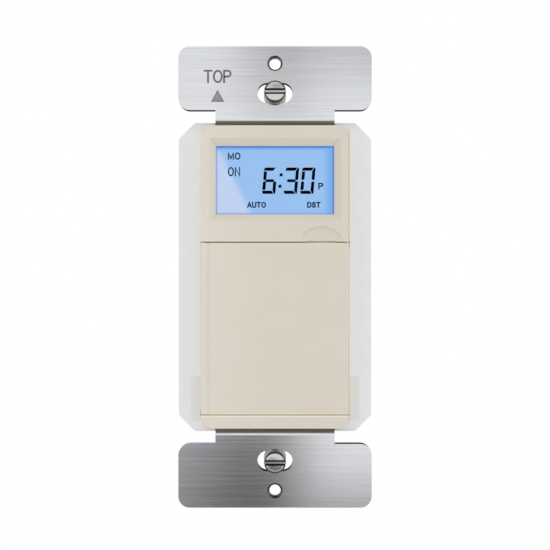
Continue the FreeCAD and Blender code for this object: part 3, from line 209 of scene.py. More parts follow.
ROUND = [(0.39 + 0.39 * math.sin(math.tau * step / 20), 0.5 + 0.5 * math.cos(math.tau * step / 20))
         for step in range(21)]
LETTERS = {
    "A": (0.76, [[(0, 0), (0.38, 1), (0.76, 0)], [(0.16, 0.33), (0.60, 0.33)]]),
    "D": (0.70, [[(0, 0), (0, 1), (0.34, 1), (0.53, 0.94), (0.66, 0.77), (0.70, 0.5), (0.66, 0.23),
                  (0.53, 0.06), (0.34, 0), (0, 0)]]),
    "E": (0.62, [[(0.62, 1), (0, 1), (0, 0), (0.62, 0)], [(0.1, 0.52), (0.55, 0.52)]]),
    "F": (0.60, [[(0.60, 1), (0, 1), (0, 0)], [(0.1, 0.52), (0.52, 0.52)]]),
    "M": (0.84, [[(0, 0), (0, 1), (0.42, 0.12), (0.84, 1), (0.84, 0)]]),
    "N": (0.70, [[(0, 0), (0, 1), (0.70, 0), (0.70, 1)]]),
    "O": (0.78, [ROUND]),
    "P": (0.64, [[(0, 0), (0, 1), (0.40, 1), (0.57, 0.94), (0.64, 0.75), (0.57, 0.56), (0.40, 0.49),
                  (0.1, 0.49)]]),
    "S": (0.64, [[(0.61, 0.76), (0.54, 0.92), (0.33, 1), (0.11, 0.93), (0.03, 0.76), (0.10, 0.60),
                  (0.33, 0.51), (0.56, 0.41), (0.64, 0.24), (0.55, 0.07), (0.32, 0), (0.09, 0.08),
                  (0, 0.25)]]),
    "T": (0.68, [[(0, 1), (0.68, 1)], [(0.34, 0.9), (0.34, 0)]]),
    "U": (0.70, [[(0, 1), (0, 0.3), (0.07, 0.09), (0.20, 0.01), (0.35, 0), (0.50, 0.01), (0.63, 0.09),
                  (0.70, 0.3), (0.70, 1)]]),
    "/": (0.36, [[(0, 0), (0.36, 1)]]),
    "-": (0.6, [[(0, 0.5), (0.6, 0.5)]]),
    "+": (0.6, [[(0, 0.5), (0.6, 0.5)], [(0.3, 0.0), (0.3, 1.0)]]),
}


def joined_rings(shape, rings, closed=False):
    """Walls from each ring of points to the next, all the way round or with a lid at either end."""
    for first, second in list(zip(rings, rings[1:])) + ([(rings[-1], rings[0])] if closed else []):
        for side in range(len(first)):
            after = (side + 1) % len(first)
            shape.faces.new((first[side], first[after], second[after], second[side]))
    if not closed:
        shape.faces.new(rings[0])
        shape.faces.new(list(reversed(rings[-1])))


def mesh_from(shape, name, outward=True):
    """The mesh of a shape in the making, with its faces turned outward unless they already are."""
    if outward:
        bmesh.ops.recalc_face_normals(shape, faces=shape.faces)
    mesh = bpy.data.meshes.new(name)
    shape.to_mesh(mesh)
    shape.free()
    return mesh


INK_THICKNESS, MITRE_LIMIT = 0.02 * MM, 0.42


def pen_stroke(shape, run, pen, level, thick=INK_THICKNESS):
    """A flat stroke along a run of X and Z points, square at its ends and mitred at its corners."""
    closed = (run[0] - run[-1]).length < 1e-9
    points = run[:-1] if closed else run
    count = len(points)
    rails = []
    for index, point in enumerate(points):
        arriving = (point - points[index - 1]).normalized()
        leaving = (points[(index + 1) % count] - point).normalized()
        if not closed and index == 0:
            arriving = leaving
            point = point - leaving * pen / 2
        if not closed and index == count - 1:
            leaving = arriving
            point = point + arriving * pen / 2
        heading = (arriving + leaving).normalized()
        across = Vector((-heading.y, heading.x))
        mitre = pen / 2 / max(MITRE_LIMIT, across.dot(Vector((-arriving.y, arriving.x))))
        corners = [point + across * mitre, point - across * mitre]
        rails.append([shape.verts.new((corner.x, y, corner.y))
                      for corner, y in ((corners[0], level), (corners[1], level),
                                        (corners[1], level - thick), (corners[0], level - thick))])
    joined_rings(shape, rails, closed)


def drawn_words(name, words, box, pen, level, material, body, gap=0.34):
    """Words in strokes that just fill a box of left, right, bottom and top.

    Box and pen are in millimetres. Where strokes cross, the later one is thinner."""
    left, right, bottom, top = [edge * MM for edge in box]
    pen *= MM
    wide = sum(LETTERS[letter][0] for letter in words) + gap * (len(words) - 1)
    across, upward = (right - left - pen) / wide, 0.0 if words == "-" else top - bottom - pen
    shape = bmesh.new()
    start = 0.0
    for letter in words:
        width, runs = LETTERS[letter]
        for order, run in enumerate(runs):
            placed = [Vector((left + pen / 2 + across * (start + x), bottom + pen / 2 + upward * z))
                      for x, z in run]
            pen_stroke(shape, placed, pen, level, INK_THICKNESS * (1 - 0.2 * order))
        start += width + gap
    return piece_from(name, mesh_from(shape, name), material, body)


# Etched steel is dull and dark, so that the word reads against the bright brushing.
etched = surfaced("etched_zinc_steel", "#6A6C72", "#7F8187", 0.5, 0.12, 0.004, Metallic=0.9)
drawn_words("strap_top_word", "TOP", (-16.17, -9.83, 43.92, 46.93), 0.42, strap_front, etched,
            "timer", gap=0.22)


def flat_shape(name, corners, level, thick, material, body):
    """A thin plate whose outline is a list of X and Z corners; its back lies on the level given."""
    shape = bmesh.new()
    joined_rings(shape, [[shape.verts.new((x, y, z)) for x, z in corners]
                         for y in (level - thick, level)])
    return piece_from(name, mesh_from(shape, name), material, body)


# Inside its dark edge the arrow is etched more lightly, to a flat middle grey.
pale_etched = surfaced("pale_etched_steel", "#94969B", "#A3A5A9", 0.5, 0.12, 0.004, Metallic=0.9)
arrow_corners = [(-14.36 * MM, 39.76 * MM), (-11.64 * MM, 39.76 * MM), (-13.0 * MM, 42.22 * MM)]
flat_shape("strap_arrow", arrow_corners, strap_front, 0.01 * MM, pale_etched, "timer")
outline = bmesh.new()
pen_stroke(outline, [Vector(corner) for corner in arrow_corners + arrow_corners[:1]], 0.16 * MM,
           strap_front)
piece_from("strap_arrow_edge", mesh_from(outline, "strap_arrow_edge"), etched, "timer")

# The wall plate holes are tapped 6-32 and the box screws cut with the same thread, so one tree
# winds both: a ridge of the thread's pitch along a spiral, inside a hole or round a shank.

THREAD_PITCH = 25.4 * MM / 32


def growing_tree(name, inputs):
    """A Geometry Nodes tree that takes these inputs and gives a mesh; returns it and what it takes."""
    tree = bpy.data.node_groups.new(name, "GeometryNodeTree")
    for item in inputs:
        kind = item if item in ("Geometry", "Material") else "Float"
        tree.interface.new_socket(name=item, in_out="INPUT", socket_type="NodeSocket" + kind)
    tree.interface.new_socket(name="Geometry", in_out="OUTPUT", socket_type="NodeSocketGeometry")
    return tree, put(tree, "NodeGroupInput").outputs


def coated(tree, taken, part):
    """The tree, ended so that it gives this part as plain mesh in the material that it takes."""
    real = put(tree, "GeometryNodeRealizeInstances", {"Geometry": part})
    painted = put(tree, "GeometryNodeSetMaterial", {"Geometry": real, "Material": taken["Material"]})
    put(tree, "NodeGroupOutput", {"Geometry": painted})
    return tree


def thread_tree():
    """A ridge of square section wound along a spiral."""
    tree, taken = growing_tree("thread", ("Radius", "Turns", "Pitch", "Ridge", "Material"))
    height = put(tree, "Math", {0: taken["Turns"], 1: taken["Pitch"]}, operation="MULTIPLY")
    spiral = put(tree, "GeometryNodeCurveSpiral", {
        "Resolution": 28, "Rotations": taken["Turns"], "Start Radius": taken["Radius"],
        "End Radius": taken["Radius"], "Height": height})
    profile = put(tree, "GeometryNodeCurvePrimitiveCircle", {"Resolution": 4, "Radius": taken["Ridge"]})
    wound = put(tree, "GeometryNodeCurveToMesh", {"Curve": spiral, "Profile Curve": profile,
                                                  "Fill Caps": True})
    return coated(tree, taken, wound)


def grown(name, tree, inputs, points=()):
    """The plain mesh that a Geometry Nodes tree makes with these inputs, at these points if any."""
    seeds = bpy.data.meshes.new(name + "_source")
    seeds.from_pydata(points, [], [])
    holder = bpy.data.objects.new(name + "_source", seeds)
    bpy.context.scene.collection.objects.link(holder)
    modifier = holder.modifiers.new("grown", "NODES")
    modifier.node_group = tree
    for item in tree.interface.items_tree:
        if item.in_out == "INPUT" and item.name in inputs:
            modifier[item.identifier] = inputs[item.name]
    mesh = bpy.data.meshes.new_from_object(holder.evaluated_get(bpy.context.evaluated_depsgraph_get()))
    bpy.data.objects.remove(holder)
    mesh.name = name
    return mesh


thread = thread_tree()
# Threads that were cut after the brushing glint inside the hole.
tapped = surfaced("tapped_bright_steel", "#C9CBCF", "#B5B8BC", 0.25, 0.1, 0.004, Metallic=1.0)
INTO_WALL = Matrix.Rotation(-math.pi / 2, 4, "X")
PLATE_HOLE_Z = 48.42 * MM
for end, side in (("upper", 1), ("lower", -1)):
    name = "plate_hole_thread_" + end
    winding = grown(name, thread, {"Radius": 1.40 * MM, "Turns": 1.6, "Pitch": THREAD_PITCH,
                                   "Ridge": 0.13 * MM, "Material": tapped})
    winding.transform(Matrix.Translation((0, 0.42 * MM, side * PLATE_HOLE_Z)) @ INTO_WALL)
    piece_from(name, winding, tapped, "timer")

# The two box screws are turned steel, nickel plated, with a 6-32 thread from the neck to the
# point. The slot in the low domed head was sawn twice, which left a deep groove by each wall.


def turned_nickel():
    """Bright nickel plate over turned steel: rings 0.15 mm apart about the screw's own axis."""
    material, tree, shader, place = new_finish("turned_bright_nickel", "#D3D3D2", 0.17, Metallic=1.0)
    split = put(tree, "SeparateXYZ", {"Vector": place}).outputs
    height = put(tree, "Math", {0: split["Z"]}, operation="ABSOLUTE")
    up = put(tree, "Math", {0: height, 1: BOX_SCREW_Z}, operation="SUBTRACT")
    away = put(tree, "CombineXYZ", {"X": split["X"], "Z": up})
    reach = put(tree, "VectorMath", {0: away}, operation="LENGTH")
    rings = put(tree, "TexNoise", {"W": reach, "Scale": 1 / (0.15 * MM), "Detail": 2.0},
                noise_dimensions="1D")
    wear = put(tree, "TexNoise", {"Vector": place, "Scale": 1 / (0.5 * MM), "Detail": 4.0})
    worn = put(tree, "MapRange", {"Value": wear, "From Min": 0.3, "From Max": 0.8, "To Min": 0.13,
                                  "To Max": 0.25})
    tint = put(tree, "Mix", {"Factor": wear, "A": linear("#DADADA"), "B": linear("#C9C8C5")},
               data_type="RGBA")
    bump = put(tree, "Bump", {"Height": rings, "Strength": 0.3, "Distance": 0.004 * MM})
    feed(shader, {"Base Color": tint, "Roughness": worn, "Normal": bump})
    return material


WELD, HAIR, SHARP = 1e-7, 0.01 * MM, math.radians(35)


def turned(name, profile, steps=64):
    """A closed solid of revolution about the Y axis from (radius, level) points.

    The points run from radius 0 to radius 0, or round a ring and back to the first, or they leave
    a hole that is filled later."""
    shape = bmesh.new()
    points = [shape.verts.new((radius, level, 0)) for radius, level in profile]
    edges = [shape.edges.new(pair) for pair in zip(points, points[1:])]
    bmesh.ops.spin(shape, geom=points + edges, cent=(0, 0, 0), axis=(0, 1, 0),
                   angle=math.tau, steps=steps)
    bmesh.ops.remove_doubles(shape, verts=shape.verts, dist=WELD)
    return smooth_round(mesh_from(shape, name))


def brick(name, low, high):
    """A plain block between two corners."""
    shape = bmesh.new()
    bmesh.ops.create_cube(shape, size=1)
    bmesh.ops.scale(shape, vec=Vector(high) - Vector(low), verts=shape.verts)
    bmesh.ops.translate(shape, vec=(Vector(high) + Vector(low)) / 2, verts=shape.verts)
    return mesh_from(shape, name)


def bar_of(outline, half):
    """A straight bar along X, this half length, whose outline is a list of Y and Z corners."""
    shape = bmesh.new()
    joined_rings(shape, [[shape.verts.new((x, y, z)) for y, z in outline] for x in (-half, half)])
    return mesh_from(shape, "bar")


def finished(mesh, **modifiers):
    """The mesh after modifiers, each given by its kind and its settings."""
    held = bpy.data.objects.new("held", mesh)
    bpy.context.scene.collection.objects.link(held)
    for kind, settings in modifiers.items():
        modifier = held.modifiers.new(kind, kind)
        for name, setting in settings.items():
            setattr(modifier, name, setting)
    result = bpy.data.meshes.new_from_object(held.evaluated_get(bpy.context.evaluated_depsgraph_get()))
    bpy.data.objects.remove(held)
    return result


def cut_away(mesh, cutter):
    """The mesh less the cutter, with both of them used up."""
    tool = bpy.data.objects.new("tool", cutter)
    bpy.context.scene.collection.objects.link(tool)
    result = finished(mesh, BOOLEAN={"operation": "DIFFERENCE", "solver": "EXACT", "object": tool})
    bpy.data.objects.remove(tool)
    return result


def smooth_round(mesh, limit=SHARP, narrow=0.8 * MM):
    """Smooth faces on what is narrow, flat ones on what is wide, and sharp edges past the limit."""
    shape = bmesh.new()
    shape.from_mesh(mesh)
    for face in shape.faces:
        face.smooth = face.calc_area() < narrow * face.calc_perimeter() / 2
    for edge in shape.edges:
        edge.smooth = edge.calc_face_angle(0) < limit
    shape.to_mesh(mesh)
    shape.free()
    return mesh


def merged(name, meshes, materials, body, which=None):
    """One piece from several meshes."""
    shape = bmesh.new()
    for mesh in meshes:
        shape.from_mesh(mesh)
    return piece_from(name, mesh_from(shape, name, outward=False), materials, body, which)


BOX_SCREW_Z = 41.67 * MM
SHANK_RADIUS, NECK_RADIUS, HEAD_BACK, NECK_END = 1.75 * MM, 1.4 * MM, 0.9 * MM, 5.0 * MM
SLOT_HALF, SLOT_DEPTH, GROOVE, GROOVE_DEPTH = 0.645 * MM, 0.25 * MM, 0.42 * MM, 1.4 * MM
nickel_plate = turned_nickel()
# Round its side the head is rougher and has painted shade, which draws its outline, and the
# saw's deep narrow grooves are painted black for the shade in them.
side_nickel = surfaced("painted_shade_head_side", "#5F5C56", "#6B6862", 0.3, 0.2, 0.006, Metallic=1.0)
groove_painted_shade = surfaced("painted_shade_saw_groove", "#0C0C0D", "#151516", 0.5, 0.1, 0.004)
for end, side in (("upper", 1), ("lower", -1)):
    node = "box_screw_" + end
    low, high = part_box(node)
    head, core = (high.x - low.x) / 2, SHANK_RADIUS - 0.54 * THREAD_PITCH
    profile = [(0, low.y)]
    profile += [(0.84 * head * step / 6, low.y + 0.045 * head * (step / 6) ** 2) for step in range(1, 7)]
    profile += [(0.93 * head, low.y + 0.10 * head), (head, low.y + 0.22 * head),
                (0.97 * head, low.y + 0.6 * head), (0.86 * head, HEAD_BACK - 0.1 * MM),
                (0.82 * head, HEAD_BACK), (NECK_RADIUS, HEAD_BACK), (NECK_RADIUS, NECK_END),
                (core, NECK_END + 0.1 * MM), (core, high.y - core), (0.35 * core, high.y), (0, high.y)]
    slot_shape = [(SLOT_HALF, -head), (SLOT_HALF, GROOVE_DEPTH), (SLOT_HALF - GROOVE, GROOVE_DEPTH),
                  (SLOT_HALF - GROOVE, SLOT_DEPTH)]
    slot_shape += [(-z, depth) for z, depth in reversed(slot_shape)]
    solid = cut_away(turned("screw", profile),
                     bar_of([(low.y + depth, z) for z, depth in slot_shape], 2 * head))
    ridge = grown("ridge", thread, {
        "Radius": SHANK_RADIUS - 0.5 * THREAD_PITCH, "Turns": (high.y - 6.0 * MM) / THREAD_PITCH,
        "Pitch": THREAD_PITCH, "Ridge": 0.5 * THREAD_PITCH, "Material": nickel_plate})
    ridge.transform(Matrix.Translation((0, NECK_END, 0)) @ INTO_WALL)
    for mesh in (smooth_round(solid), ridge):
        mesh.transform(Matrix.Translation((0, 0, side * BOX_SCREW_Z)))

    def head_part(face):
        """Painted black shade in the grooves, painted shade round the head's side, bright elsewhere."""
        up = face.center.z - side * BOX_SCREW_Z
        reach = math.hypot(face.center.x, up)
        depth = face.center.y - low.y
        if SLOT_HALF - GROOVE - HAIR < abs(up) < SLOT_HALF + HAIR and reach < 0.98 * head:
            if SLOT_DEPTH + HAIR < depth < GROOVE_DEPTH + HAIR:
                return 2
            if abs(face.normal.z) > 0.9 and depth < GROOVE_DEPTH:
                return 2
        return 1 if reach > 0.80 * head and 0.06 * head < depth < 3.3 * MM else 0

    piece = merged(node + "_threaded", [solid, ridge], [nickel_plate, side_nickel, groove_painted_shade],
                   end + "_screw", which=head_part)
    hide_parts(node)

# Each screw turns in a washer of natural nylon, milky and half clear. It sits on the neck behind
# the screw's head and keeps the screw in its slot.


def softened(node, radius, materials, which=None, adjust=None, spare=None, segments=3):
    """A node's own shape with its sharp edges rounded, in its place on the same body.

    The radius is in millimetres. adjust moves points first, and edges for which spare says so
    stay as they are."""
    shape = bmesh.new()
    shape.from_mesh(frame["nodes"][node].data)
    bmesh.ops.remove_doubles(shape, verts=shape.verts, dist=WELD)
    bmesh.ops.dissolve_limit(shape, angle_limit=math.radians(0.5), verts=shape.verts, edges=shape.edges)
    if adjust:
        for point in shape.verts:
            adjust(point.co)
        bmesh.ops.remove_doubles(shape, verts=shape.verts, dist=WELD)
    weight = shape.edges.layers.float.new("bevel_weight_edge")
    for edge in shape.edges:
        edge[weight] = float(edge.calc_face_angle(0) > SHARP and not (spare and spare(edge)))
    mesh = finished(mesh_from(shape, node + "_edges", outward=False), BEVEL={
        "width": radius * MM, "segments": segments, "limit_method": "WEIGHT",
        "use_clamp_overlap": False, "miter_outer": "MITER_ARC"})
    piece = piece_from(node + "_finished", smooth_round(mesh, math.radians(20)), materials,
                       frame["nodes"][node]["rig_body"], which)
    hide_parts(node)
    return piece


natural_nylon = surfaced("natural_milky_nylon", "#FBFBF8", "#F4F4F0", 0.4, 0.18, 0.004,
                         Transmission_Weight=0.6)
for end in ("upper", "lower"):
    softened("screw_washer_" + end, 0.12, natural_nylon)

# The housing is two shells of white ABS, moulded with a fine spark-eroded texture. The front
# shell carries the deck round the face, coarser in a step by each lower side of it, and the rear
# shell is the deep box for the wall. Four long zinc plated screws hold the two together.

white_abs = surfaced("spark_textured_white_abs", "#EFEFF3", "#ECEDF0", 0.46, 0.22, 0.006, edge=0.2)
coarse_abs = surfaced("coarse_spark_white_abs", "#EAE9E8", "#E8E7E6", 0.55, 0.3, 0.012)
deck_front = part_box("front_housing")[0].y
STEP_DEPTH, STEP_HALF, STEP_LOW, STEP_HIGH = 0.4 * MM, 19.5 * MM, -33.2 * MM, -22.7 * MM
STEP_AREA = 150 * MM ** 2


def paint_light_near(material, near, far, share, operation):
    """Paints light on a finish: white by a share at near, in millimetres, and none at far.

    They are places along X, or with ABSOLUTE distances from the middle."""
    tree = material.node_tree
    shader = [item for item in tree.nodes if item.type == "BSDF_PRINCIPLED"][0]
    tone = shader.inputs["Base Color"].links[0].from_socket
    split = put(tree, "SeparateXYZ", {"Vector": put(tree, "TexCoord").outputs["Object"]})
    aside = put(tree, "Math", {0: split.outputs["X"], 1: 1.0}, operation=operation)
    nearness = put(tree, "MapRange", {"Value": aside, "From Min": near * MM, "From Max": far * MM,
                                      "To Min": share, "To Max": 0.0})
    feed(shader, {"Base Color": put(tree, "Mix", {"Factor": nearness, "A": tone, "B": linear("#FFFFFF")},
                                    data_type="RGBA")})


# Painted light on the deck beside the face frame, against the shade the frame would cast there.
paint_light_near(white_abs, 16.4, 20, 0.4, "ABSOLUTE")


def shallow_step(point):
    """Brings the floor of the step by the lower sides up to the deck, where only its grain shows."""
    if abs(point.y - deck_front - STEP_DEPTH) < 1e-6:
        point.y = deck_front


def step_floor(face):
    """The floor of the step, which is one face that runs round below the almond frame."""
    inside = abs(face.center.x) < STEP_HALF and STEP_LOW < face.center.z < STEP_HIGH
    level = abs(face.center.y - deck_front) < 3 * HAIR
    return 1 if inside and level and MM ** 2 < face.area < STEP_AREA else 0


softened("front_housing", 0.12, [white_abs, coarse_abs], adjust=shallow_step, which=step_floor)
softened("rear_housing", 0.12, white_abs)
# Passivated zinc has a cold gloss with a trace of blue.
zinc = surfaced("blue_passivated_zinc", "#C9CCD2", "#BDBFBE", 0.3, 0.25, 0.004, Metallic=1.0)
softened("housing_screws", 0.12, zinc)

# The face frame, the door and its strip are almond ABS, polished finer than the housing, with a
# thin painted highlight on their edges. Strip and door are one moulding joined by a living hinge.

# The same plastic with painted light and shade: a nearly white painted highlight where an edge
# faces the light, tan painted shade on the shaded side, and a little paler painted light on the
# outer rim and on the bevels round the display.
almond_abs = surfaced("polished_almond_abs", "#D9D2C4", "#D8D0C1", 0.36, 0.30, 0.002, edge=0.3)
almond_edge = surfaced("almond_edge_painted_highlight", "#FFFAF0", "#FDF7EB", 0.28, 0.30, 0.001)
almond_side = surfaced("almond_side_painted_shade", "#CDBF9F", "#C9BB9B", 0.4, 0.30, 0.002)
almond_rim = surfaced("almond_rim_painted_light", "#DFD9CC", "#DDD6C8", 0.3, 0.30, 0.001)
almond_bevel = surfaced("almond_bevel_painted_light", "#E2DBCC", "#E0D9C9", 0.3, 0.30, 0.001)
# Painted light on the face, paler towards its left edge.
paint_light_near(almond_abs, -16.4, -2, 0.12, "MULTIPLY")
ALMOND = [almond_abs, almond_edge, almond_side, almond_rim, almond_bevel]
SCOOP_X, SCOOP_HALF, SCOOP_TOP, SCOOP_SHARE = 10.15 * MM, 4.8 * MM, 11.4 * MM, 0.45
face_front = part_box("face_frame")[0].y
panel_low, panel_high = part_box("door_panel")
SCOOP_BOTTOM, SCOOP_RIM = 7.2 * MM, 6.8 * MM
WINDOW_HALF, WINDOW_LOW, WINDOW_HIGH, FACE_HALF = 15 * MM, 9.4 * MM, 32.4 * MM, 16 * MM
DOOR_EDGES = (panel_low.z, panel_high.z)


def almond_part(face):
    """Painted highlight on edges along the gaps, and painted light on the rim, shade at its right.

    The upper and lower bevels round the display have painted light too, and the scoop is plain."""
    x, z = face.center.x, face.center.z
    tilt = abs(face.normal.y)
    if tilt > 0.985 or (abs(x - SCOOP_X) < SCOOP_HALF and DOOR_EDGES[1] + 0.7 * MM < z < SCOOP_TOP):
        return 0
    if abs(x) < WINDOW_HALF and WINDOW_LOW < z < WINDOW_HIGH:
        return 4 if abs(face.normal.z) > abs(face.normal.x) else 0
    at_gap = min(abs(z - edge) for edge in DOOR_EDGES) < 0.9 * MM and abs(face.normal.z) > 0.25
    if at_gap and abs(x) < FACE_HALF + 0.2 * MM:
        return 1 if tilt > 0.05 else 0
    if tilt < 0.15:
        return 0
    return 3 if tilt > 0.45 and x < FACE_HALF else 2


def gentle_scoop(point):
    """Lifts the floor of the finger scoop, which looks shallow under the soft light."""
    if abs(point.x - SCOOP_X) < SCOOP_HALF and SCOOP_BOTTOM < point.z < SCOOP_TOP:
        if face_front + 1e-6 < point.y < face_front + 1.6 * MM:
            point.y = face_front + SCOOP_SHARE * (point.y - face_front)


def scoop_edge(edge):
    """Edges in and round the finger scoop."""
    middle = (edge.verts[0].co + edge.verts[1].co) / 2
    return abs(middle.x - SCOOP_X) < SCOOP_HALF and SCOOP_RIM < middle.z < SCOOP_TOP


softened("face_frame", 0.12, ALMOND, which=almond_part, adjust=gentle_scoop, spare=scoop_edge)
softened("door_hinge_strip", 0.08, ALMOND, which=almond_part)
door_back = frame["nodes"]["door_panel"].data.vertices
door_back = sorted(vertex.co.y for vertex in door_back if vertex.co.x < 0)[-1]


def on_door_back(edge):
    """Edges in the flat back of the door, which stay sharp."""
    return all(abs(point.co.y - door_back) < HAIR for point in edge.verts)


softened("door_panel", 0.08, ALMOND, which=almond_part, spare=on_door_back)
web_low, web_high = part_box("door_web")
HINGE_SLOPE, WEB_SLICES = 0.2 * MM, 20


def hinge_web():
    """The thin bar of the living hinge, hollow in front, made in slices along X."""
    shape = bmesh.new()
    rings = []
    for index in range(WEB_SLICES + 1):
        share = index / WEB_SLICES
        x = web_low.x - HINGE_SLOPE + (web_high.x - web_low.x + 2 * HINGE_SLOPE) * share
        front = panel_low.y + (0.01 + 0.10 * math.sin(math.pi * share) ** 8) * MM
        rings.append([shape.verts.new((x, y, z)) for y, z in (
            (front, web_low.z), (front, web_high.z), (web_high.y, web_high.z), (web_high.y, web_low.z))])
    joined_rings(shape, rings)
    return smooth_round(mesh_from(shape, "door_web_bending"))


web = bpy.data.objects.new("door_web_bending", hinge_web())
for finish in (almond_abs, almond_rim):
    web.data.materials.append(finish)
# The web's slope facing left and forward takes the rim's painted light.
for face in web.data.polygons:
    face.material_index = 1 if face.normal.x < -0.15 and face.normal.y < -0.3 else 0
bpy.context.scene.collection.objects.link(web)
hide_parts("door_web")
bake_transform(web)

# A lip, moulded with the frame, closes most of each gap at the door. The gap then shows as a thin
# line in tan painted shade, and the door keeps the play that it needs.

GAP, PLAY = 0.4 * MM, 0.04 * MM
for name, low_z, high_z, sunk in (
        ("face_lower_lip", panel_low.z - GAP, panel_low.z - PLAY, 0.12 * MM),
        ("face_upper_lip", panel_high.z + PLAY, panel_high.z + GAP, 0.8 * MM)):
    lip = finished(brick(name, (-FACE_HALF, panel_low.y + sunk, low_z),
                         (FACE_HALF, panel_low.y + 1.2 * MM, high_z)),
                   BEVEL={"width": 0.06 * MM, "segments": 2})
    piece_from(name, lip, almond_side, "timer")

# The display: a clear acrylic window, and behind it two glasses with the liquid between them.
# The lit glass is pale blue, deeper near its edges, and a painted reflection pales its lower left.


def lit_glass():
    """Backlit display glass: blue light, deeper near the edges, with a painted reflection at lower left.
    """
    material, tree, shader, place = new_finish("backlit_display", "#10161F", 0.3, Specular_IOR_Level=0.2)
    low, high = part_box("display_rear_glass")
    middle = {"X": 0.0, "Z": (low.z + high.z) / 2}
    split = put(tree, "SeparateXYZ", {"Vector": place}).outputs

    def near_edges(edges):
        """How near the nearest of some edges is, each with its axis, side, start, end and strength."""
        nearest = 0.0
        for axis, sign, start, finish, strength in edges:
            away = put(tree, "Math", {0: split[axis], 1: sign, 2: -sign * middle[axis]},
                       operation="MULTIPLY_ADD")
            here = put(tree, "MapRange", {"Value": away, "From Min": start * MM, "From Max": finish * MM,
                                          "To Max": strength}, interpolation_type="SMOOTHSTEP")
            nearest = put(tree, "Math", {0: nearest, 1: here}, operation="MAXIMUM")
        return nearest

    # The pale wedge towards the lower left is a painted reflection.
    slope = put(tree, "Math", {0: split["X"], 1: 1.97, 2: -3.76 * MM}, operation="MULTIPLY_ADD")
    side = put(tree, "Math", {0: split["Z"], 1: slope}, operation="ADD")
    pale = put(tree, "MapRange", {"Value": side, "From Min": -2.4 * MM, "From Max": 2.2 * MM,
                                  "To Min": 1.0, "To Max": 0.0}, interpolation_type="SMOOTHSTEP")
    shade = near_edges([("X", 1, 10.4, 12.4, 0.85), ("X", 1, 11.9, 13.1, 1.0), ("Z", 1, 6.2, 7.5, 0.8),
                        ("Z", -1, 6.6, 7.5, 0.35)])
    rim = near_edges([("X", 1, 12.5, 13.1, 0.9), ("Z", 1, 7.0, 7.65, 1.0), ("Z", -1, 7.1, 7.6, 0.9),
                      ("X", -1, 12.65, 13.0, 0.55)])
    colour = linear("#9BC4F0")
    for share, code in ((pale, "#C5D5F2"), (shade, "#77ADE9"), (rim, "#3A7BD6")):
        colour = put(tree, "Mix", {"Factor": share, "A": colour, "B": linear(code)}, data_type="RGBA")
    cells = put(tree, "TexNoise", {"Vector": place, "Scale": 1 / (0.4 * MM), "Detail": 2.0})
    bump = put(tree, "Bump", {"Height": cells, "Strength": 0.2, "Distance": 0.002 * MM})
    feed(shader, {"Emission Color": colour, "Emission Strength": 0.98, "Normal": bump})
    return material


lit = lit_glass()
dress("display_front_glass", lit)
dress("display_rear_glass", lit)
# Polished acrylic is all but invisible, with only a faint reflection.
clear_acrylic = surfaced("polished_clear_acrylic", "#F7FAFF", "#FAFBFF", 0.02, 4.0, 0.001,
                         IOR=1.49, Transmission_Weight=1.0, Specular_Tint=linear("#3A3A3A"))
dress("display_window", clear_acrylic)
# Turned crystals stop the light: the digits look black, and the thin words a very dark blue.
segment_black = surfaced("dark_liquid_crystal", "#020308", "#04060C", 0.5, 0.1, 0.001,
                         Specular_IOR_Level=0.0)
word_black = surfaced("dim_liquid_crystal", "#0A1226", "#101A33", 0.5, 0.1, 0.001,
                      Specular_IOR_Level=0.0)

DIGIT_HALF_WIDTH, DIGIT_HALF_HEIGHT, BAR = 1.48 * MM, 2.93 * MM, 0.80 * MM
SEGMENT_GAP, SLANT, DOT = 0.09 * MM, 0.088, 0.33 * MM
ink_low, ink_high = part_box("display_front_glass")
ink_level, display_z = ink_low.y, (ink_low.z + ink_high.z) / 2
LIT = {"6": "acdefg", "3": "abcdg", "0": "abcdef"}


def segment_corners(letter):
    """Corners of one bar of a digit that is centred on zero and stands upright.

    The short names are the digit's half width and half height, the bar's width and the gap."""
    w, h, s, g = DIGIT_HALF_WIDTH, DIGIT_HALF_HEIGHT, BAR, SEGMENT_GAP
    if letter == "g":
        return [(-w + 0.5 * s, 0), (-w + 0.9 * s, 0.4 * s), (w - 0.9 * s, 0.4 * s), (w - 0.5 * s, 0),
                (w - 0.9 * s, -0.4 * s), (-w + 0.9 * s, -0.4 * s)]
    shapes = {
        "a": [(-w + 0.3 * s, h), (w - 0.45 * s, h), (w - 1.12 * s, h - 0.9 * s), (-w, h - 0.9 * s),
              (-w, h - 0.45 * s)],
        "b": [(w - 0.33 * s, h), (w - 0.12 * s, h - 0.05 * s), (w, h - 0.3 * s), (w, 0.35 * s),
              (w - 0.4 * s, g), (w - 0.87 * s, 0.45 * s), (w - 0.87 * s, h - 0.93 * s)],
        "f": [(-w, h - s - g), (-w + 0.87 * s, h - s - g), (-w + 0.87 * s, 0.45 * s), (-w + 0.45 * s, g),
              (-w, 0.35 * s)]}
    mirror = {"d": "a", "c": "b", "e": "f"}
    if letter in mirror:
        return [(x, -z) for x, z in shapes[mirror[letter]]]
    return shapes[letter]


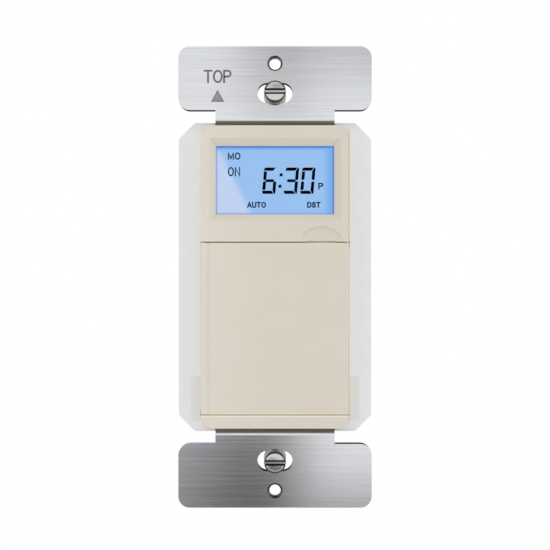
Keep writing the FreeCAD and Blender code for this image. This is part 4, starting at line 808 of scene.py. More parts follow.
for number, (figure, centre) in enumerate((("6", -1.17 * MM), ("3", 3.65 * MM), ("0", 7.30 * MM))):
    for letter in LIT[figure]:
        corners = [(centre + x + SLANT * z, display_z + z) for x, z in segment_corners(letter)]
        flat_shape("digit_%d_bar_%s" % (number, letter), corners, ink_level, INK_THICKNESS,
                   segment_black, "timer")
for number, (x, z) in enumerate(((1.36 * MM, 22.70 * MM), (1.11 * MM, 20.16 * MM))):
    corners = [(x + DOT * a + SLANT * DOT * b, z + DOT * b)
               for a, b in ((-1, -1), (1, -1), (1, 1), (-1, 1))]
    flat_shape("colon_dot_%d" % number, corners, ink_level, INK_THICKNESS, segment_black, "timer")
for name, words, box in (
        ("weekday", "MO", (-10.50, -7.66, 26.05, 27.68)), ("state", "ON", (-10.46, -7.72, 22.38, 24.43)),
        ("mode", "AUTO", (-6.21, -2.00, 15.37, 16.69)), ("season", "DST", (7.14, 10.12, 15.37, 16.69)),
        ("half_day", "P", (9.61, 10.75, 19.45, 20.92))):
    drawn_words("display_word_" + name, words, box, 0.28, ink_level, word_black, "timer")

# Behind the glass: a holder of white ABS, silicone strips layered with carbon that carry the
# display's contacts, the acrylic light guide with its reflector film, and backlight diodes.

# The holder is a plain, slightly grey white, and the film a brighter one with a soft sheen.
holder_abs = surfaced("plain_white_abs", "#E8E8E5", "#E2E2DE", 0.5, 0.2, 0.004)
softened("display_holder", 0.1, holder_abs)
reflector_film = surfaced("white_polyester_film", "#F1F2F2", "#E9EBEC", 0.3, 0.5, 0.002)
dress("reflector_sheet", reflector_film)


def striped(name, code, roughness, axis, pitch, blur, codes, strength, depth, **shader_values):
    """Layers or turns side by side along an axis: two colours by turns that blend over the blur.

    Pitch and depth are in millimetres."""
    material, tree, shader, place = new_finish(name, code, roughness, **shader_values)
    split = put(tree, "SeparateXYZ", {"Vector": place})
    turns = put(tree, "Math", {0: split.outputs[axis], 1: math.tau / (pitch * MM)}, operation="MULTIPLY")
    wave = put(tree, "Math", {0: turns}, operation="SINE")
    share = put(tree, "MapRange", {"Value": wave, "From Min": -blur, "From Max": blur})
    colour = put(tree, "Mix", {"Factor": share, "A": linear(codes[0]), "B": linear(codes[1])},
                 data_type="RGBA")
    bump = put(tree, "Bump", {"Height": wave, "Strength": strength, "Distance": depth * MM})
    feed(shader, {"Base Color": colour, "Normal": bump})
    return material


# Layered silicone: a black carbon layer and a pink clear one by turns, 0.36 mm for both.
layered_silicone = striped("layered_silicone", "#C99A8C", 0.6, "X", 0.36, 0.15, ("#2B2625", "#D3A194"),
                           0.4, 0.01)
dress("contact_strips", layered_silicone)


def dotted_guide():
    """Cast acrylic with etched dots 0.9 mm apart that scatter the light towards the glass."""
    material, tree, shader, place = new_finish("dotted_light_guide", "#DCE9F6", 0.15, IOR=1.49,
                                               Transmission_Weight=0.6)
    dots = put(tree, "TexVoronoi", {"Vector": place, "Scale": 1 / (0.9 * MM), "Randomness": 0.15})
    edge = put(tree, "MapRange", {"Value": dots, "From Min": 0.28, "From Max": 0.34, "To Min": 1.0,
                                  "To Max": 0.0})
    colour = put(tree, "Mix", {"Factor": edge, "A": linear("#DCE9F6"), "B": linear("#F8FBFF")},
                 data_type="RGBA")
    frost = put(tree, "MapRange", {"Value": edge, "To Min": 0.12, "To Max": 0.6})
    bump = put(tree, "Bump", {"Height": edge, "Strength": 0.5, "Distance": 0.02 * MM})
    feed(shader, {"Base Color": colour, "Roughness": frost, "Normal": bump})
    return material


dress("light_guide", dotted_guide())
# The diode's lens is a pale blue with a slight shine.
phosphor = surfaced("blue_diode_lens", "#BFD4EC", "#AFC8E6", 0.3, 0.15, 0.003)
led_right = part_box("backlight_leds")[1].x
softened("backlight_leds", 0.06, [holder_abs, phosphor],
         which=lambda face: 1 if face.center.x > led_right - 0.03 * MM else 0)

# Keys behind the door: grey ABS caps with printed words, a sunk red reset key, and the white
# silicone mat whose domes push them back.

# The caps are matt, so that no highlight hides the black print on them.
key_abs = surfaced("matt_grey_key_abs", "#A3A19C", "#9D9B96", 0.45, 0.2, 0.004, edge=0.15)
red_abs = surfaced("matt_red_key_abs", "#B24238", "#AC3D34", 0.45, 0.2, 0.004)
key_ink = surfaced("pad_printed_black", "#232327", "#2C2C31", 0.5, 0.1, 0.002)
for key, words, share, tall in (
        ("onoff", "ON/OFF", 0.5, 0.62), ("mode", "MODE", 0.6, 0.55), ("set", "SET", 0.55, 0.6),
        ("minus", "-", 0.4, 0.1), ("plus", "+", 0.4, 0.75)):
    node = key + "_button"
    softened(node, 0.12, key_abs)
    low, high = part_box(node)
    centre, half = (low + high) / 2 / MM, (high.x - low.x) / MM * share / 2
    box = (centre.x - half, centre.x + half, centre.z - tall, centre.z + tall)
    drawn_words(node + "_word", words, box, 0.19, low.y, key_ink, key + "_key")
softened("reset_button", 0.15, red_abs)
# Silicone rubber is a dull white with a soft bloom where it curves away.
mat_silicone = surfaced("white_silicone_rubber", "#D3D3CF", "#CACAC5", 0.55, 0.3, 0.004,
                        Sheen_Weight=0.2)
softened("key_mat", 0.12, mat_silicone)

# The clock's coin cell is a can of stainless steel pressed over a cap, with a seal between them
# and a plus sign stamped into its face. A spring leaf and a clip of nickel plated steel touch it,
# and a sliding cover of almond ABS with three grip grooves keeps it in.

cell_low, cell_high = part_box("coin_cell")
cell_radius = (cell_high.x - cell_low.x) / 2
cell_x, cell_z = (cell_low.x + cell_high.x) / 2, (cell_low.z + cell_high.z) / 2


def satin_steel():
    """Satin stainless steel, pressed and tumbled: rings 0.25 mm apart about the cell's centre."""
    material, tree, shader, place = new_finish("satin_stainless_steel", "#C6C7CA", 0.28, Metallic=1.0)
    centred = put(tree, "Mapping", {"Vector": place, "Location": (-cell_x, 0, -cell_z),
                                    "Scale": (1, 0, 1)})
    reach = put(tree, "VectorMath", {0: centred}, operation="LENGTH")
    rings = put(tree, "TexNoise", {"W": reach, "Scale": 1 / (0.25 * MM), "Detail": 3.0},
                noise_dimensions="1D")
    tint = put(tree, "Mix", {"Factor": rings, "A": linear("#CFD0D3"), "B": linear("#B9BABD")},
               data_type="RGBA")
    gloss = put(tree, "MapRange", {"Value": rings, "To Min": 0.2, "To Max": 0.38})
    bump = put(tree, "Bump", {"Height": rings, "Strength": 0.4, "Distance": 0.004 * MM})
    feed(shader, {"Base Color": tint, "Roughness": gloss, "Normal": bump})
    return material


def set_off(radius, level, *steps):
    """Profile points that lie off a radius and a level by steps out and along, in millimetres."""
    return [(radius + out * MM, level + along * MM) for out, along in steps]


cell = turned("coin_cell_pressed", [
    (0, cell_low.y), *set_off(cell_radius, cell_low.y, (-0.5, 0), (-0.15, 0.12), (0, 0.5)),
    *set_off(cell_radius, cell_high.y, (0, -0.4), (-0.3, -0.15), (-0.9, -0.2), (-1.0, -0.45),
             (-1.3, -0.45), (-1.5, 0)), (0, cell_high.y)])
cell.transform(Matrix.Translation((cell_x, 0, cell_z)))
piece = piece_from("coin_cell_pressed", cell, satin_steel(), "timer")
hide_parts("coin_cell")
# The stamped sign has a rough floor, which looks darker than the steel round it.
stamped = surfaced("stamped_steel_mark", "#77787B", "#8B8C8F", 0.5, 0.1, 0.003, Metallic=1.0)
PLUS_HALF = 1.6
plus_box = [middle / MM + side * PLUS_HALF for middle in (cell_x, cell_z) for side in (-1, 1)]
drawn_words("coin_cell_plus", "+", plus_box, 0.35, cell_low.y, stamped, "timer")
# Rolled nickel is a warm bright metal with fine upright lines.
contact_nickel = surfaced("rolled_nickel_plate", "#CFCCC4", "#C3BFB5", 0.22, 0.15, 0.003,
                          lay=(1, 1, 0.1), Metallic=1.0)
softened("battery_leaf", 0.04, contact_nickel)
softened("battery_clip", 0.05, contact_nickel)
softened("battery_cover", 0.12, almond_abs)

# Both boards are glass epoxy under green solder mask, through which the etched copper shows as
# paler tracks. The control board carries the controller, its crystal and small parts, four screws
# and the socket for the pins of the power board.


def masked_board(tracks):
    """Green solder mask over etched copper tracks this far apart, with bare yellow cut edges."""
    material, tree, shader, place = new_finish("green_solder_mask", "#14512B", 0.33)
    split = put(tree, "SeparateXYZ", {"Vector": place}).outputs
    flat = put(tree, "CombineXYZ", {"X": split["X"], "Y": split["Z"]})
    paths = put(tree, "TexBrick", {
        "Vector": flat, "Color1": (0, 0, 0, 1), "Color2": (0.25, 0.25, 0.25, 1),
        "Mortar": (1, 1, 1, 1), "Scale": 1.0, "Mortar Size": 0.12 * tracks, "Mortar Smooth": 0.1,
        "Brick Width": 5.3 * tracks, "Row Height": 0.8 * tracks}, offset=0.37, offset_frequency=3,
        squash=1.6, squash_frequency=2)
    bare = put(tree, "TexNoise", {"Vector": place, "Scale": 1 / (4 * tracks), "Detail": 0.0})
    routed = put(tree, "MapRange", {"Value": bare, "From Min": 0.47, "From Max": 0.50})
    copper = put(tree, "Math", {0: paths, 1: routed}, operation="MULTIPLY")
    weave = put(tree, "TexNoise", {"Vector": place, "Scale": 1 / (0.6 * MM), "Detail": 3.0})
    ground = put(tree, "Mix", {"Factor": weave, "A": linear("#124A27"), "B": linear("#185C31")},
                 data_type="RGBA")
    seen = put(tree, "Mix", {"Factor": copper, "A": ground, "B": linear("#27743F")}, data_type="RGBA")
    facing = put(tree, "SeparateXYZ", {"Vector": put(tree, "TexCoord").outputs["Normal"]})
    face_on = put(tree, "Math", {0: facing.outputs["Y"]}, operation="ABSOLUTE")
    colour = put(tree, "Mix", {"Factor": face_on, "A": linear("#A8A070"), "B": seen}, data_type="RGBA")
    bump = put(tree, "Bump", {"Height": copper, "Strength": 0.5, "Distance": 0.02 * MM})
    feed(shader, {"Base Color": colour, "Normal": bump})
    return material


dress("control_board", masked_board(1.27 * MM))
dress("power_board", masked_board(2.54 * MM))
softened("board_screws", 0.08, zinc)
# Moulded epoxy is a dull black, and tin plate on the legs a pale metal without much shine.
chip_epoxy = surfaced("moulded_black_epoxy", "#1A1A1C", "#222224", 0.5, 0.12, 0.004)
tin_plate = surfaced("matt_tin_plate", "#C4C5C4", "#B3B4B2", 0.4, 0.1, 0.003, Metallic=1.0)
chip_low, chip_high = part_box("microcontroller")
chip_middle = (chip_low + chip_high) / 2
chip_edge = min(chip_high.x - chip_low.x, chip_high.z - chip_low.z) / 2
LEG_LENGTH, LEG_DEPTH = 0.9 * MM, 0.3 * MM


def leg_or_body(face):
    """Legs lie outside the package's own square."""
    centre = face.center
    beyond = max(abs(centre.x - chip_middle.x), abs(centre.z - chip_middle.z))
    return 1 if beyond > chip_edge - LEG_LENGTH and centre.y < chip_high.y - LEG_DEPTH else 0


softened("microcontroller", 0.05, [chip_epoxy, tin_plate], which=leg_or_body)
softened("chip_parts", 0.06, [chip_epoxy, tin_plate],
         which=lambda face: 1 if abs(abs(face.center.x) - 3.81 * MM) > 0.95 * MM else 0)
softened("clock_crystal", 0.15, contact_nickel)
softened("header_socket", 0.08, chip_epoxy)
# A flash of gold gives the pins a warm, clean gloss.
gold = surfaced("gold_flash", "#DDB65A", "#D0A64B", 0.22, 0.1, 0.002, Metallic=1.0)
dress("header_pins", gold)
# Calendered fibre paper is tan, matt and faintly mottled.
fibre = surfaced("calendered_fibre_paper", "#D8CFA6", "#CDC296", 0.6, 0.3, 0.006)
dress("insulating_sheet", fibre)

# The relay switches the load: a blue case over a black base, and inside it a bobbin wound with
# enamelled copper on an iron core, a yoke, the rocking armature and its silver alloy contact.

# Moulded polyester has an even gloss, with a thin light along the case's edges.
relay_case = surfaced("moulded_blue_polyester", "#1F3F78", "#1B3970", 0.32, 0.3, 0.002, edge=0.2)
softened("relay_cover", 0.3, relay_case)
softened("relay_base", 0.12, chip_epoxy)
# Enamelled copper wire wound on a bobbin, each turn 0.2 mm from the next along its axis, looks
# ribbed and reddish brown.
copper_winding = striped("enamelled_copper_winding", "#B4683A", 0.3, "Y", 0.2, 1.0,
                         ("#8A4A26", "#C87B48"), 0.6, 0.03, Metallic=1.0)
coil_low, coil_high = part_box("relay_coil")
coil_radius = (coil_high.x - coil_low.x) / 2
coil_x, coil_z = (coil_low.x + coil_high.x) / 2, (coil_low.z + coil_high.z) / 2
WIRE_DEPTH, FLANGE, CORE_RADIUS, CORE_STAND = 0.35 * MM, 0.6 * MM, 1.5 * MM, 0.4 * MM
bobbin_end = coil_high.y - CORE_STAND
coil = turned("relay_coil_wound", [
    (0, coil_low.y), (coil_radius, coil_low.y), (coil_radius, coil_low.y + FLANGE),
    (coil_radius - WIRE_DEPTH, coil_low.y + FLANGE), (coil_radius - WIRE_DEPTH, bobbin_end - FLANGE),
    (coil_radius, bobbin_end - FLANGE), (coil_radius, bobbin_end), (CORE_RADIUS, bobbin_end),
    (CORE_RADIUS, coil_high.y), (0, coil_high.y)])
coil.transform(Matrix.Translation((coil_x, 0, coil_z)))


def bobbin_part(face):
    """The winding lies between the flanges, and the iron core stands out of the bobbin's end."""
    level, margin = face.center.y, 0.05 * MM
    reach = math.hypot(face.center.x - coil_x, face.center.z - coil_z)
    if level > bobbin_end + margin or (reach < CORE_RADIUS and level > bobbin_end - 2 * margin):
        return 2
    return 1 if coil_low.y + FLANGE + margin < level < bobbin_end - FLANGE - margin else 0


# Soft iron is a plain grey metal with faint lines from side to side.
soft_iron = surfaced("bright_soft_iron", "#B9B9B6", "#ABABA8", 0.35, 0.2, 0.003, lay=(0.15, 1, 1),
                     Metallic=1.0)
piece = piece_from("relay_coil_wound", coil, [holder_abs, copper_winding, soft_iron], "timer",
                   which=bobbin_part)
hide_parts("relay_coil")
softened("relay_yoke", 0.1, soft_iron)
plate_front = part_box("relay_armature")[0].y
# The silver alloy is whiter and brighter than the iron that carries it.
silver_alloy = surfaced("silver_alloy_contact", "#DAD8D2", "#CBC8C0", 0.3, 0.2, 0.002, Metallic=1.0)


def contact_or_plate(face):
    """The silver contact stands out in front of the free end of the armature's plate."""
    return 1 if face.center.y < plate_front + 0.35 * MM and face.center.x > -1.2 * MM else 0


softened("relay_armature", 0.03, [soft_iron, silver_alloy], which=contact_or_plate)
softened("relay_contact", 0.06, gold)

# Other parts on the power board. The storage capacitor is an aluminium can in a dark shrunk
# sleeve, with a crimped groove, a pale stripe for its minus side and a cross scored into its top.

can_low, can_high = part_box("storage_capacitor")
can_x, can_z = (can_low.x + can_high.x) / 2, (can_low.z + can_high.z) / 2
can_radius = (can_high.x - can_low.x) / 2
STAMP = 0.15 * MM
can = turned("storage_capacitor_sleeved", [
    *set_off(can_radius, can_low.y, (-0.4, 0), (0, 0.4), (0, 1.5), (-0.4, 1.9), (-0.4, 2.2), (0, 2.6)),
    *set_off(can_radius, can_high.y, (0, -0.5), (-0.35, -0.05), (-0.7, 0), (-0.85, -0.15)),
    (0, can_high.y - STAMP)], steps=72)
# The profile leaves the can's base open, and one face fills it.
base_ring = bmesh.new()
base_ring.from_mesh(can)
bmesh.ops.holes_fill(base_ring, edges=[edge for edge in base_ring.edges if len(edge.link_faces) == 1])
can = mesh_from(base_ring, "storage_capacitor_sleeved")
SCORE_HALF, SCORE_WIDTH, SCORE_DEPTH = 3.4 * MM, 0.15 * MM, 0.1 * MM
for x, z in ((SCORE_HALF, SCORE_WIDTH), (SCORE_WIDTH, SCORE_HALF)):
    can = cut_away(can, brick("score", (-x, can_high.y - STAMP - SCORE_DEPTH, -z),
                              (x, can_high.y + MM, z)))
can = smooth_round(can)
can.transform(Matrix.Translation((can_x, 0, can_z)))


def sleeve_part(face):
    """Bare can on top, a stripe on the side towards +X, and the dark sleeve elsewhere."""
    centre = face.center
    x, z = centre.x - can_x, centre.z - can_z
    if math.hypot(x, z) < can_radius - 0.8 * MM and centre.y > can_high.y - 0.5 * MM:
        return 1
    return 2 if abs(math.atan2(z, x)) < 0.45 else 0


# The shrunk sleeve is smooth and shines, the bare can is brighter, and the stripe is duller.
shrunk_sleeve = surfaced("shrunk_dark_sleeve", "#1B2130", "#222939", 0.3, 0.4, 0.003)
can_metal = surfaced("drawn_aluminium", "#D5D7DA", "#C8CACD", 0.3, 0.2, 0.003, Metallic=1.0)
sleeve_stripe = surfaced("printed_sleeve_stripe", "#9AA3B5", "#8F98AB", 0.35, 0.4, 0.003)
piece = piece_from("storage_capacitor_sleeved", can, [shrunk_sleeve, can_metal, sleeve_stripe], "timer",
                   which=sleeve_part)
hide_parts("storage_capacitor")
softened("film_capacitor", 0.4,
         surfaced("yellow_box_polyester", "#CDA92E", "#C4A027", 0.33, 0.3, 0.002))

# The varistor is a disc dipped in blue epoxy, thick in the middle and thin at its rim, on two
# tinned leads. The fuse is a wire in a glass tube with a plated cap at each end.

# Epoxy that was dipped flows out glossy, with slow ripples.
blue_epoxy = surfaced("dipped_blue_epoxy", "#2A4E9E", "#234690", 0.28, 0.8, 0.02)
disc_low, disc_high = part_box("varistor")
disc_x, disc_z = (disc_low.x + disc_high.x) / 2, (disc_low.z + disc_high.z) / 2
disc_radius, disc_half = (disc_high.x - disc_low.x) / 2, (disc_high.z - disc_low.z) / 2
disc_y = disc_high.y - disc_radius
angles = [math.pi * step / 24 for step in range(25)]
rim = [(disc_radius * math.sin(angle),
        disc_half * math.copysign(abs(math.cos(angle)) ** 0.6, -math.cos(angle))) for angle in angles]
rim[0], rim[-1] = (0, rim[0][1]), (0, rim[-1][1])
disc = turned("disc", rim)
disc.transform(Matrix.Translation((disc_x, disc_y, disc_z)) @ Matrix.Rotation(math.pi / 2, 4, "X"))
LEAD_X, LEAD_HALF = 2.54 * MM, 0.3 * MM
leads = [brick("lead", (disc_x + side * LEAD_X - LEAD_HALF, disc_low.y, disc_z - LEAD_HALF),
               (disc_x + side * LEAD_X + LEAD_HALF, disc_y, disc_z + LEAD_HALF)) for side in (-1, 1)]


def lead_or_disc(face):
    """The leads are thin and lie outside the disc."""
    x, y = face.center.x - disc_x, face.center.y - disc_y
    in_lead = abs(face.center.z - disc_z) < 0.35 * MM and y < -0.6 * disc_radius
    return 1 if in_lead or math.hypot(x, y) > disc_radius else 0


piece = merged("varistor_dipped", [disc] + leads, [blue_epoxy, tin_plate], "timer",
               which=lead_or_disc)
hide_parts("varistor")
ALONG_X = Matrix.Rotation(-math.pi / 2, 4, "Z")
tube_low, tube_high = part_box("fuse_tube")
tube_radius, tube_y = (tube_high.y - tube_low.y) / 2, (tube_low.y + tube_high.y) / 2
tube_z = (tube_low.z + tube_high.z) / 2
bore = tube_radius - 0.5 * MM
glass = turned("tube", [
    (bore, tube_low.x), *set_off(tube_radius, tube_low.x, (-0.1, 0), (0, 0.1)),
    *set_off(tube_radius, tube_high.x, (0, -0.1), (-0.1, 0)), (bore, tube_high.x), (bore, tube_low.x)])
glass.transform(Matrix.Translation((0, tube_y, tube_z)) @ ALONG_X)
# Drawn glass is clear and carries long thin highlights.
drawn_glass = surfaced("drawn_soda_glass", "#F2F7F6", "#EDF4F2", 0.03, 2.0, 0.002, IOR=1.52,
                       Transmission_Weight=1.0)
piece = piece_from("fuse_tube_drawn", glass, drawn_glass, "timer")
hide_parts("fuse_tube")
FUSE_WIRE = 0.1 * MM
wire = turned("fuse_wire", [(0, tube_low.x), (FUSE_WIRE, tube_low.x), (FUSE_WIRE, tube_high.x),
                            (0, tube_high.x)], steps=12)
wire.transform(Matrix.Translation((0, tube_y, tube_z)) @ ALONG_X)
piece_from("fuse_wire", wire, tin_plate, "timer")
softened("fuse_caps", 0.1, contact_nickel)

# Rectifier diodes are black epoxy with a silver band at the cathode on tinned wires, and the
# dropper resistor is a ceramic rod under a fired green coating with its colour bands.

# The printed band is a flat pale grey, duller than the tinned wire.
silver_ink = surfaced("printed_silver_band", "#BFC1C4", "#B2B4B7", 0.4, 0.1, 0.002)
diode_low, diode_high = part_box("rectifier_diodes")
diode_radius = (diode_high.y - diode_low.y) / 2
diode_x, diode_y = (diode_low.x + diode_high.x) / 2, (diode_low.y + diode_high.y) / 2
half_body, half_wire = (diode_high.x - diode_low.x) / 4, (diode_high.x - diode_low.x) / 2
DIODES, WIRE_RADIUS, BAND_START, BAND_END, BREAK = 4, 0.32 * MM, 1.3 * MM, 0.6 * MM, 0.15 * MM
diode_pitch = (diode_high.z - diode_low.z - 2 * diode_radius) / (DIODES - 1)
diodes = []
for index in range(DIODES):
    diode = turned("diode", [
        (0, -half_wire), (WIRE_RADIUS, -half_wire), (WIRE_RADIUS, -half_body),
        (diode_radius - BREAK, -half_body), (diode_radius, BREAK - half_body),
        (diode_radius, half_body - BAND_START), (diode_radius, half_body - BAND_END),
        (diode_radius, half_body - BREAK), (diode_radius - BREAK, half_body),
        (WIRE_RADIUS, half_body), (WIRE_RADIUS, half_wire), (0, half_wire)], steps=32)
    centre_z = diode_high.z - diode_radius - index * diode_pitch
    diode.transform(Matrix.Translation((diode_x, diode_y, centre_z)) @ ALONG_X)
    diodes.append(diode)


def diode_part(face):
    """Tinned wire outside the body and a silver band near the cathode."""
    along = face.center.x - diode_x
    if abs(along) > half_body + HAIR:
        return 1
    return 2 if half_body - BAND_START < along < half_body - BAND_END else 0


piece = merged("rectifier_diodes_banded", diodes, [chip_epoxy, tin_plate, silver_ink], "timer",
               which=diode_part)
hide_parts("rectifier_diodes")
rod_low, rod_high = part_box("dropper_resistor")
rod_radius, rod_y = (rod_high.y - rod_low.y) / 2, (rod_low.y + rod_high.y) / 2
rod_z, rod_length = (rod_low.z + rod_high.z) / 2, rod_high.x - rod_low.x
BANDS = ((0.30, 0.37, 1), (0.44, 0.51, 2), (0.58, 0.65, 3))
stations = [(0, 0), (0.86, 0.01), (1.0, 0.07), (1.0, 0.18), (0.9, 0.25)]
stations += [(0.87, share) for start, end, number in BANDS for share in (start, end)]
stations += [(0.87, 0.74), (0.9, 0.78), (1.0, 0.83), (1.0, 0.93), (0.86, 0.99), (0, 1.0)]
rod = turned("dropper_resistor_banded", [(rod_radius * radius, rod_low.x + rod_length * share)
                                         for radius, share in stations], steps=48)
rod.transform(Matrix.Translation((0, rod_y, rod_z)) @ ALONG_X)
# The fired coating is a chalky green, and the painted bands on it are slightly smoother.
fired_green = surfaced("fired_green_coating", "#9BB9A9", "#90AF9F", 0.5, 0.3, 0.006)
band_inks = [surfaced("band_ink_" + tone, code, code, 0.45, 0.1, 0.002)
             for tone, code in (("brown", "#5E3420"), ("black", "#1B1A1A"), ("gold", "#B58A3A"))]


def band_of(face):
    """Colour bands in the waist of the rod."""
    share = (face.center.x - rod_low.x) / rod_length
    return next((number for start, end, number in BANDS if start < share < end), 0)


piece = piece_from("dropper_resistor_banded", rod, [fired_green] + band_inks, "timer",
                   which=band_of)
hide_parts("dropper_resistor")

# Four tinned tabs wait for the leads, and each joint on the board stands in a fillet of solder.
# One tree sets a fillet at each point of a list.

softened("lead_tabs", 0.12, contact_nickel)
tab_low, tab_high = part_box("lead_tabs")
board_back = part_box("power_board")[1].y


def fillet_tree():
    """A low cone of solder that stands on the board at each point of a mesh."""
    tree, taken = growing_tree("solder_fillets", ("Geometry", "Foot", "Neck", "Height", "Material"))
    cone = put(tree, "GeometryNodeMeshCone", {"Vertices": 20, "Radius Bottom": taken["Foot"],
                                              "Radius Top": taken["Neck"], "Depth": taken["Height"]})
    stood = put(tree, "GeometryNodeInstanceOnPoints", {
        "Points": taken["Geometry"], "Instance": cone, "Rotation": (-math.pi / 2, 0, 0)})
    return coated(tree, taken, stood)


TABS, TAB_WIDTH = 4, 4.4 * MM
tab_z, tab_pitch = (tab_low.z + tab_high.z) / 2, (tab_high.x - tab_low.x - TAB_WIDTH) / (TABS - 1)
joints = [((index - (TABS - 1) / 2) * tab_pitch, board_back, tab_z) for index in range(TABS)]
joints += [(disc_x + side * LEAD_X, board_back, disc_z) for side in (-1, 1)]
# Reflowed solder is bright and a little uneven.
solder = surfaced("reflowed_solder", "#C9CAC9", "#B9BAB8", 0.25, 0.4, 0.01, Metallic=1.0)
fillets = grown("solder_fillets", fillet_tree(), {"Foot": 1.1 * MM, "Neck": 0.45 * MM, "Height": 0.5 * MM,
                                                  "Material": solder}, points=joints)
piece_from("solder_fillets", smooth_round(fillets), solder, "timer")

# The ground terminal is a lug stamped from brass, a warm yellow metal with fine lines from side
# to side. A plated steel rivet holds it to the strap.

brass = surfaced("stamped_brass", "#CFAA5C", "#C19B4E", 0.3, 0.2, 0.004, lay=(0.2, 1, 1),
                 Metallic=1.0)
softened("ground_terminal", 0.06, brass)
softened("ground_rivet", 0.1, contact_nickel)

# The lead bushing is black rubber, dull and faintly mottled, with a hole for each lead. It is
# moulded to fit the opening of the rear shell, which holds it.

rubber = surfaced("moulded_black_rubber", "#19191C", "#212124", 0.6, 0.25, 0.008)
softened("lead_bushing", 0.3, rubber)

# The stage: a pale floor well under the object, a white surround that is greyer overhead and
# below, soft lamps, two soft-edged flags for the steel to mirror, and the camera, which stands
# 200 mm in front of the strap and looks straight at it.


def surround():
    """White all round for the camera; for gloss, grey above and below as in a studio."""
    world = bpy.data.worlds.new("studio")
    bpy.context.scene.world = world
    world.use_nodes = True
    tree = world.node_tree
    tree.nodes.clear()
    path = put(tree, "LightPath").outputs
    looked = put(tree, "Math", {0: path["Is Camera Ray"], 1: path["Is Transmission Ray"]},
                 operation="MAXIMUM")
    heading = put(tree, "SeparateXYZ", {"Vector": put(tree, "TexCoord").outputs["Generated"]})
    steep = put(tree, "Math", {0: heading.outputs["Z"]}, operation="ABSOLUTE")
    glow = put(tree, "MapRange", {"Value": steep, "From Min": 0.30, "From Max": 0.62, "To Min": 1.0,
                                  "To Max": 0.42}, interpolation_type="SMOOTHSTEP")
    glossy, white, soft = [put(tree, "Background", {"Color": (1, 1, 1, 1), "Strength": strength})
                           for strength in (glow, 1.0, 0.87)]
    mirrored = put(tree, "MixShader", {"Fac": path["Is Glossy Ray"], 1: soft, 2: glossy})
    mixed = put(tree, "MixShader", {"Fac": looked, 1: mirrored, 2: white})
    put(tree, "OutputWorld", {"Surface": mixed})


def lamp(name, place, target, width, height, radiance):
    """A soft box whose brightness is given as a share of white paper's."""
    data = bpy.data.lights.new(name, "AREA")
    data.shape = "RECTANGLE"
    data.size, data.size_y = width, height
    data.energy = radiance * math.pi * width * height
    box = bpy.data.objects.new(name, data)
    box.location = place
    box.rotation_euler = (Vector(target) - Vector(place)).to_track_quat("-Z", "Y").to_euler()
    bpy.context.scene.collection.objects.link(box)


surround()
lamp("left_box", (-1.3, -0.6, 0.15), (0, 0, 0), 0.7, 1.3, 0.8)
lamp("right_box", (1.3, -0.6, 0.0), (0, 0, 0), 0.7, 1.3, 1.0)
lamp("top_box", (0.0, -1.0, 1.1), (0, 0, 0), 0.8, 0.8, 0.5)

FLAG_DISTANCE, CAMERA_DISTANCE = 0.35, 0.200
MIRROR_SCALE = 1 + FLAG_DISTANCE / CAMERA_DISTANCE


def sheet(name, points, faces, material, surface, unseen):
    """A sheet of the stage with this surface at its material's output; some rays don't see it."""
    feed([item for item in material.node_tree.nodes if item.type == "OUTPUT_MATERIAL"][0],
         {"Surface": surface})
    mesh = bpy.data.meshes.new(name)
    mesh.from_pydata(points, [], faces)
    mesh.materials.append(material)
    staged = bpy.data.objects.new(name, mesh)
    bpy.context.scene.collection.objects.link(staged)
    for ray in unseen:
        setattr(staged, "visible_" + ray, False)
    return mesh


def upper_shade(x, z):
    """How dark the upper flag is where the strap mirrors it, x and z in millimetres on the strap."""
    rise = min(max((z - 40) / 11, 0), 2.2)
    return 0.35 * math.exp(-(x / 9) ** 2) + rise * max(0.15 + 0.0108 * x, 0.01) + 0.005 * max(-x, 0)


def lower_shade(x, z):
    """The same for the lower flag, which is dark on the left and thins out to the right."""
    share = min(max((14.5 - x) / 17.5, 0), 1)
    eased = share * share * (3 - 2 * share)
    left = 0.87 * eased - 0.016 * max(-7 - x, 0)
    fall = min(max((-41.5 - z) / 10, 0), 1.7)
    return 1 - (1 - left) * (1 - (0.52 - 0.27 * eased) * fall)


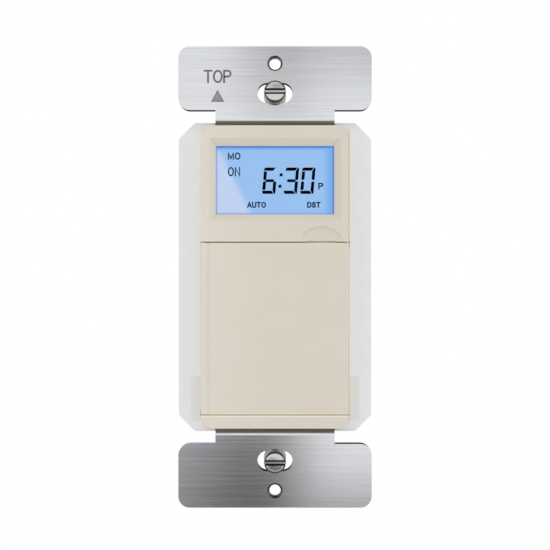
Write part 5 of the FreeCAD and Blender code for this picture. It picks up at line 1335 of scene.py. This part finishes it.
def soft_flag(name, shade, z_low, z_high):
    """A dark gauze in front of the strap that only its gloss sees, as dense as shade says."""
    material, tree, shader, place = new_finish(name, "#0E0F11", 1.0, Specular_IOR_Level=0.0)
    dense = put(tree, "Attribute", attribute_name="shade").outputs["Fac"]
    mixed = put(tree, "MixShader", {"Fac": dense, 1: put(tree, "BsdfTransparent"), 2: shader})
    columns, rows, x_half, fading = 40, 28, 38, 6
    points, shades = [], []
    for row in range(rows + 1):
        for column in range(columns + 1):
            x = -x_half + 2 * x_half * column / columns
            z = z_low + (z_high - z_low) * row / rows
            points.append((x * MM * MIRROR_SCALE, -FLAG_DISTANCE, z * MM * MIRROR_SCALE))
            shades.append(min(1, (x_half - abs(x)) / fading) * min(max(shade(x, z), 0), 1))
    wide = columns + 1
    faces = [(corner, corner + 1, corner + wide + 1, corner + wide)
             for corner in range(rows * wide) if corner % wide < columns]
    mesh = sheet(name, points, faces, material, mixed, ("camera", "diffuse", "transmission", "shadow"))
    mesh.attributes.new("shade", "FLOAT", "POINT").data.foreach_set("value", shades)


soft_flag("upper_flag", upper_shade, 34, 66)
soft_flag("lower_flag", lower_shade, -72, -28)

FLOOR_Z, FLOOR_HALF = -0.62, 6.0


def floor():
    """A pale floor that the camera sees as white, apart from the object's shadow."""
    material, tree, shader, place = new_finish("pale_floor", "#F4F4F4", 0.9)
    path = put(tree, "LightPath").outputs
    glow = put(tree, "Emission", {"Color": (1, 1, 1, 1), "Strength": 1.0})
    much = put(tree, "Math", {0: path["Is Camera Ray"], 1: 0.985}, operation="MULTIPLY")
    mixed = put(tree, "MixShader", {"Fac": much, 1: shader, 2: glow})
    corners = [(x * FLOOR_HALF, y * FLOOR_HALF, FLOOR_Z) for x, y in ((-1, -1), (1, -1), (1, 1), (-1, 1))]
    sheet("floor", corners, [(0, 1, 2, 3)], material, mixed, ("glossy",))


floor()
FOCAL_PIXELS, IMAGE_PIXELS, CENTRE_DROP_PIXELS = 883, 550, 2
SENSOR_MM = 36.0
camera_data = bpy.data.cameras.new("camera")
camera_data.sensor_width = SENSOR_MM
camera_data.lens = FOCAL_PIXELS / IMAGE_PIXELS * SENSOR_MM
camera_data.shift_y = CENTRE_DROP_PIXELS / IMAGE_PIXELS
camera_data.clip_start = 0.01
camera = bpy.data.objects.new("camera", camera_data)
camera.location = (0, -CAMERA_DISTANCE, 0)
camera.rotation_euler = (math.pi / 2, 0, 0)
bpy.context.scene.collection.objects.link(camera)
bpy.context.scene.camera = camera
bpy.context.scene.view_settings.view_transform = "Standard"
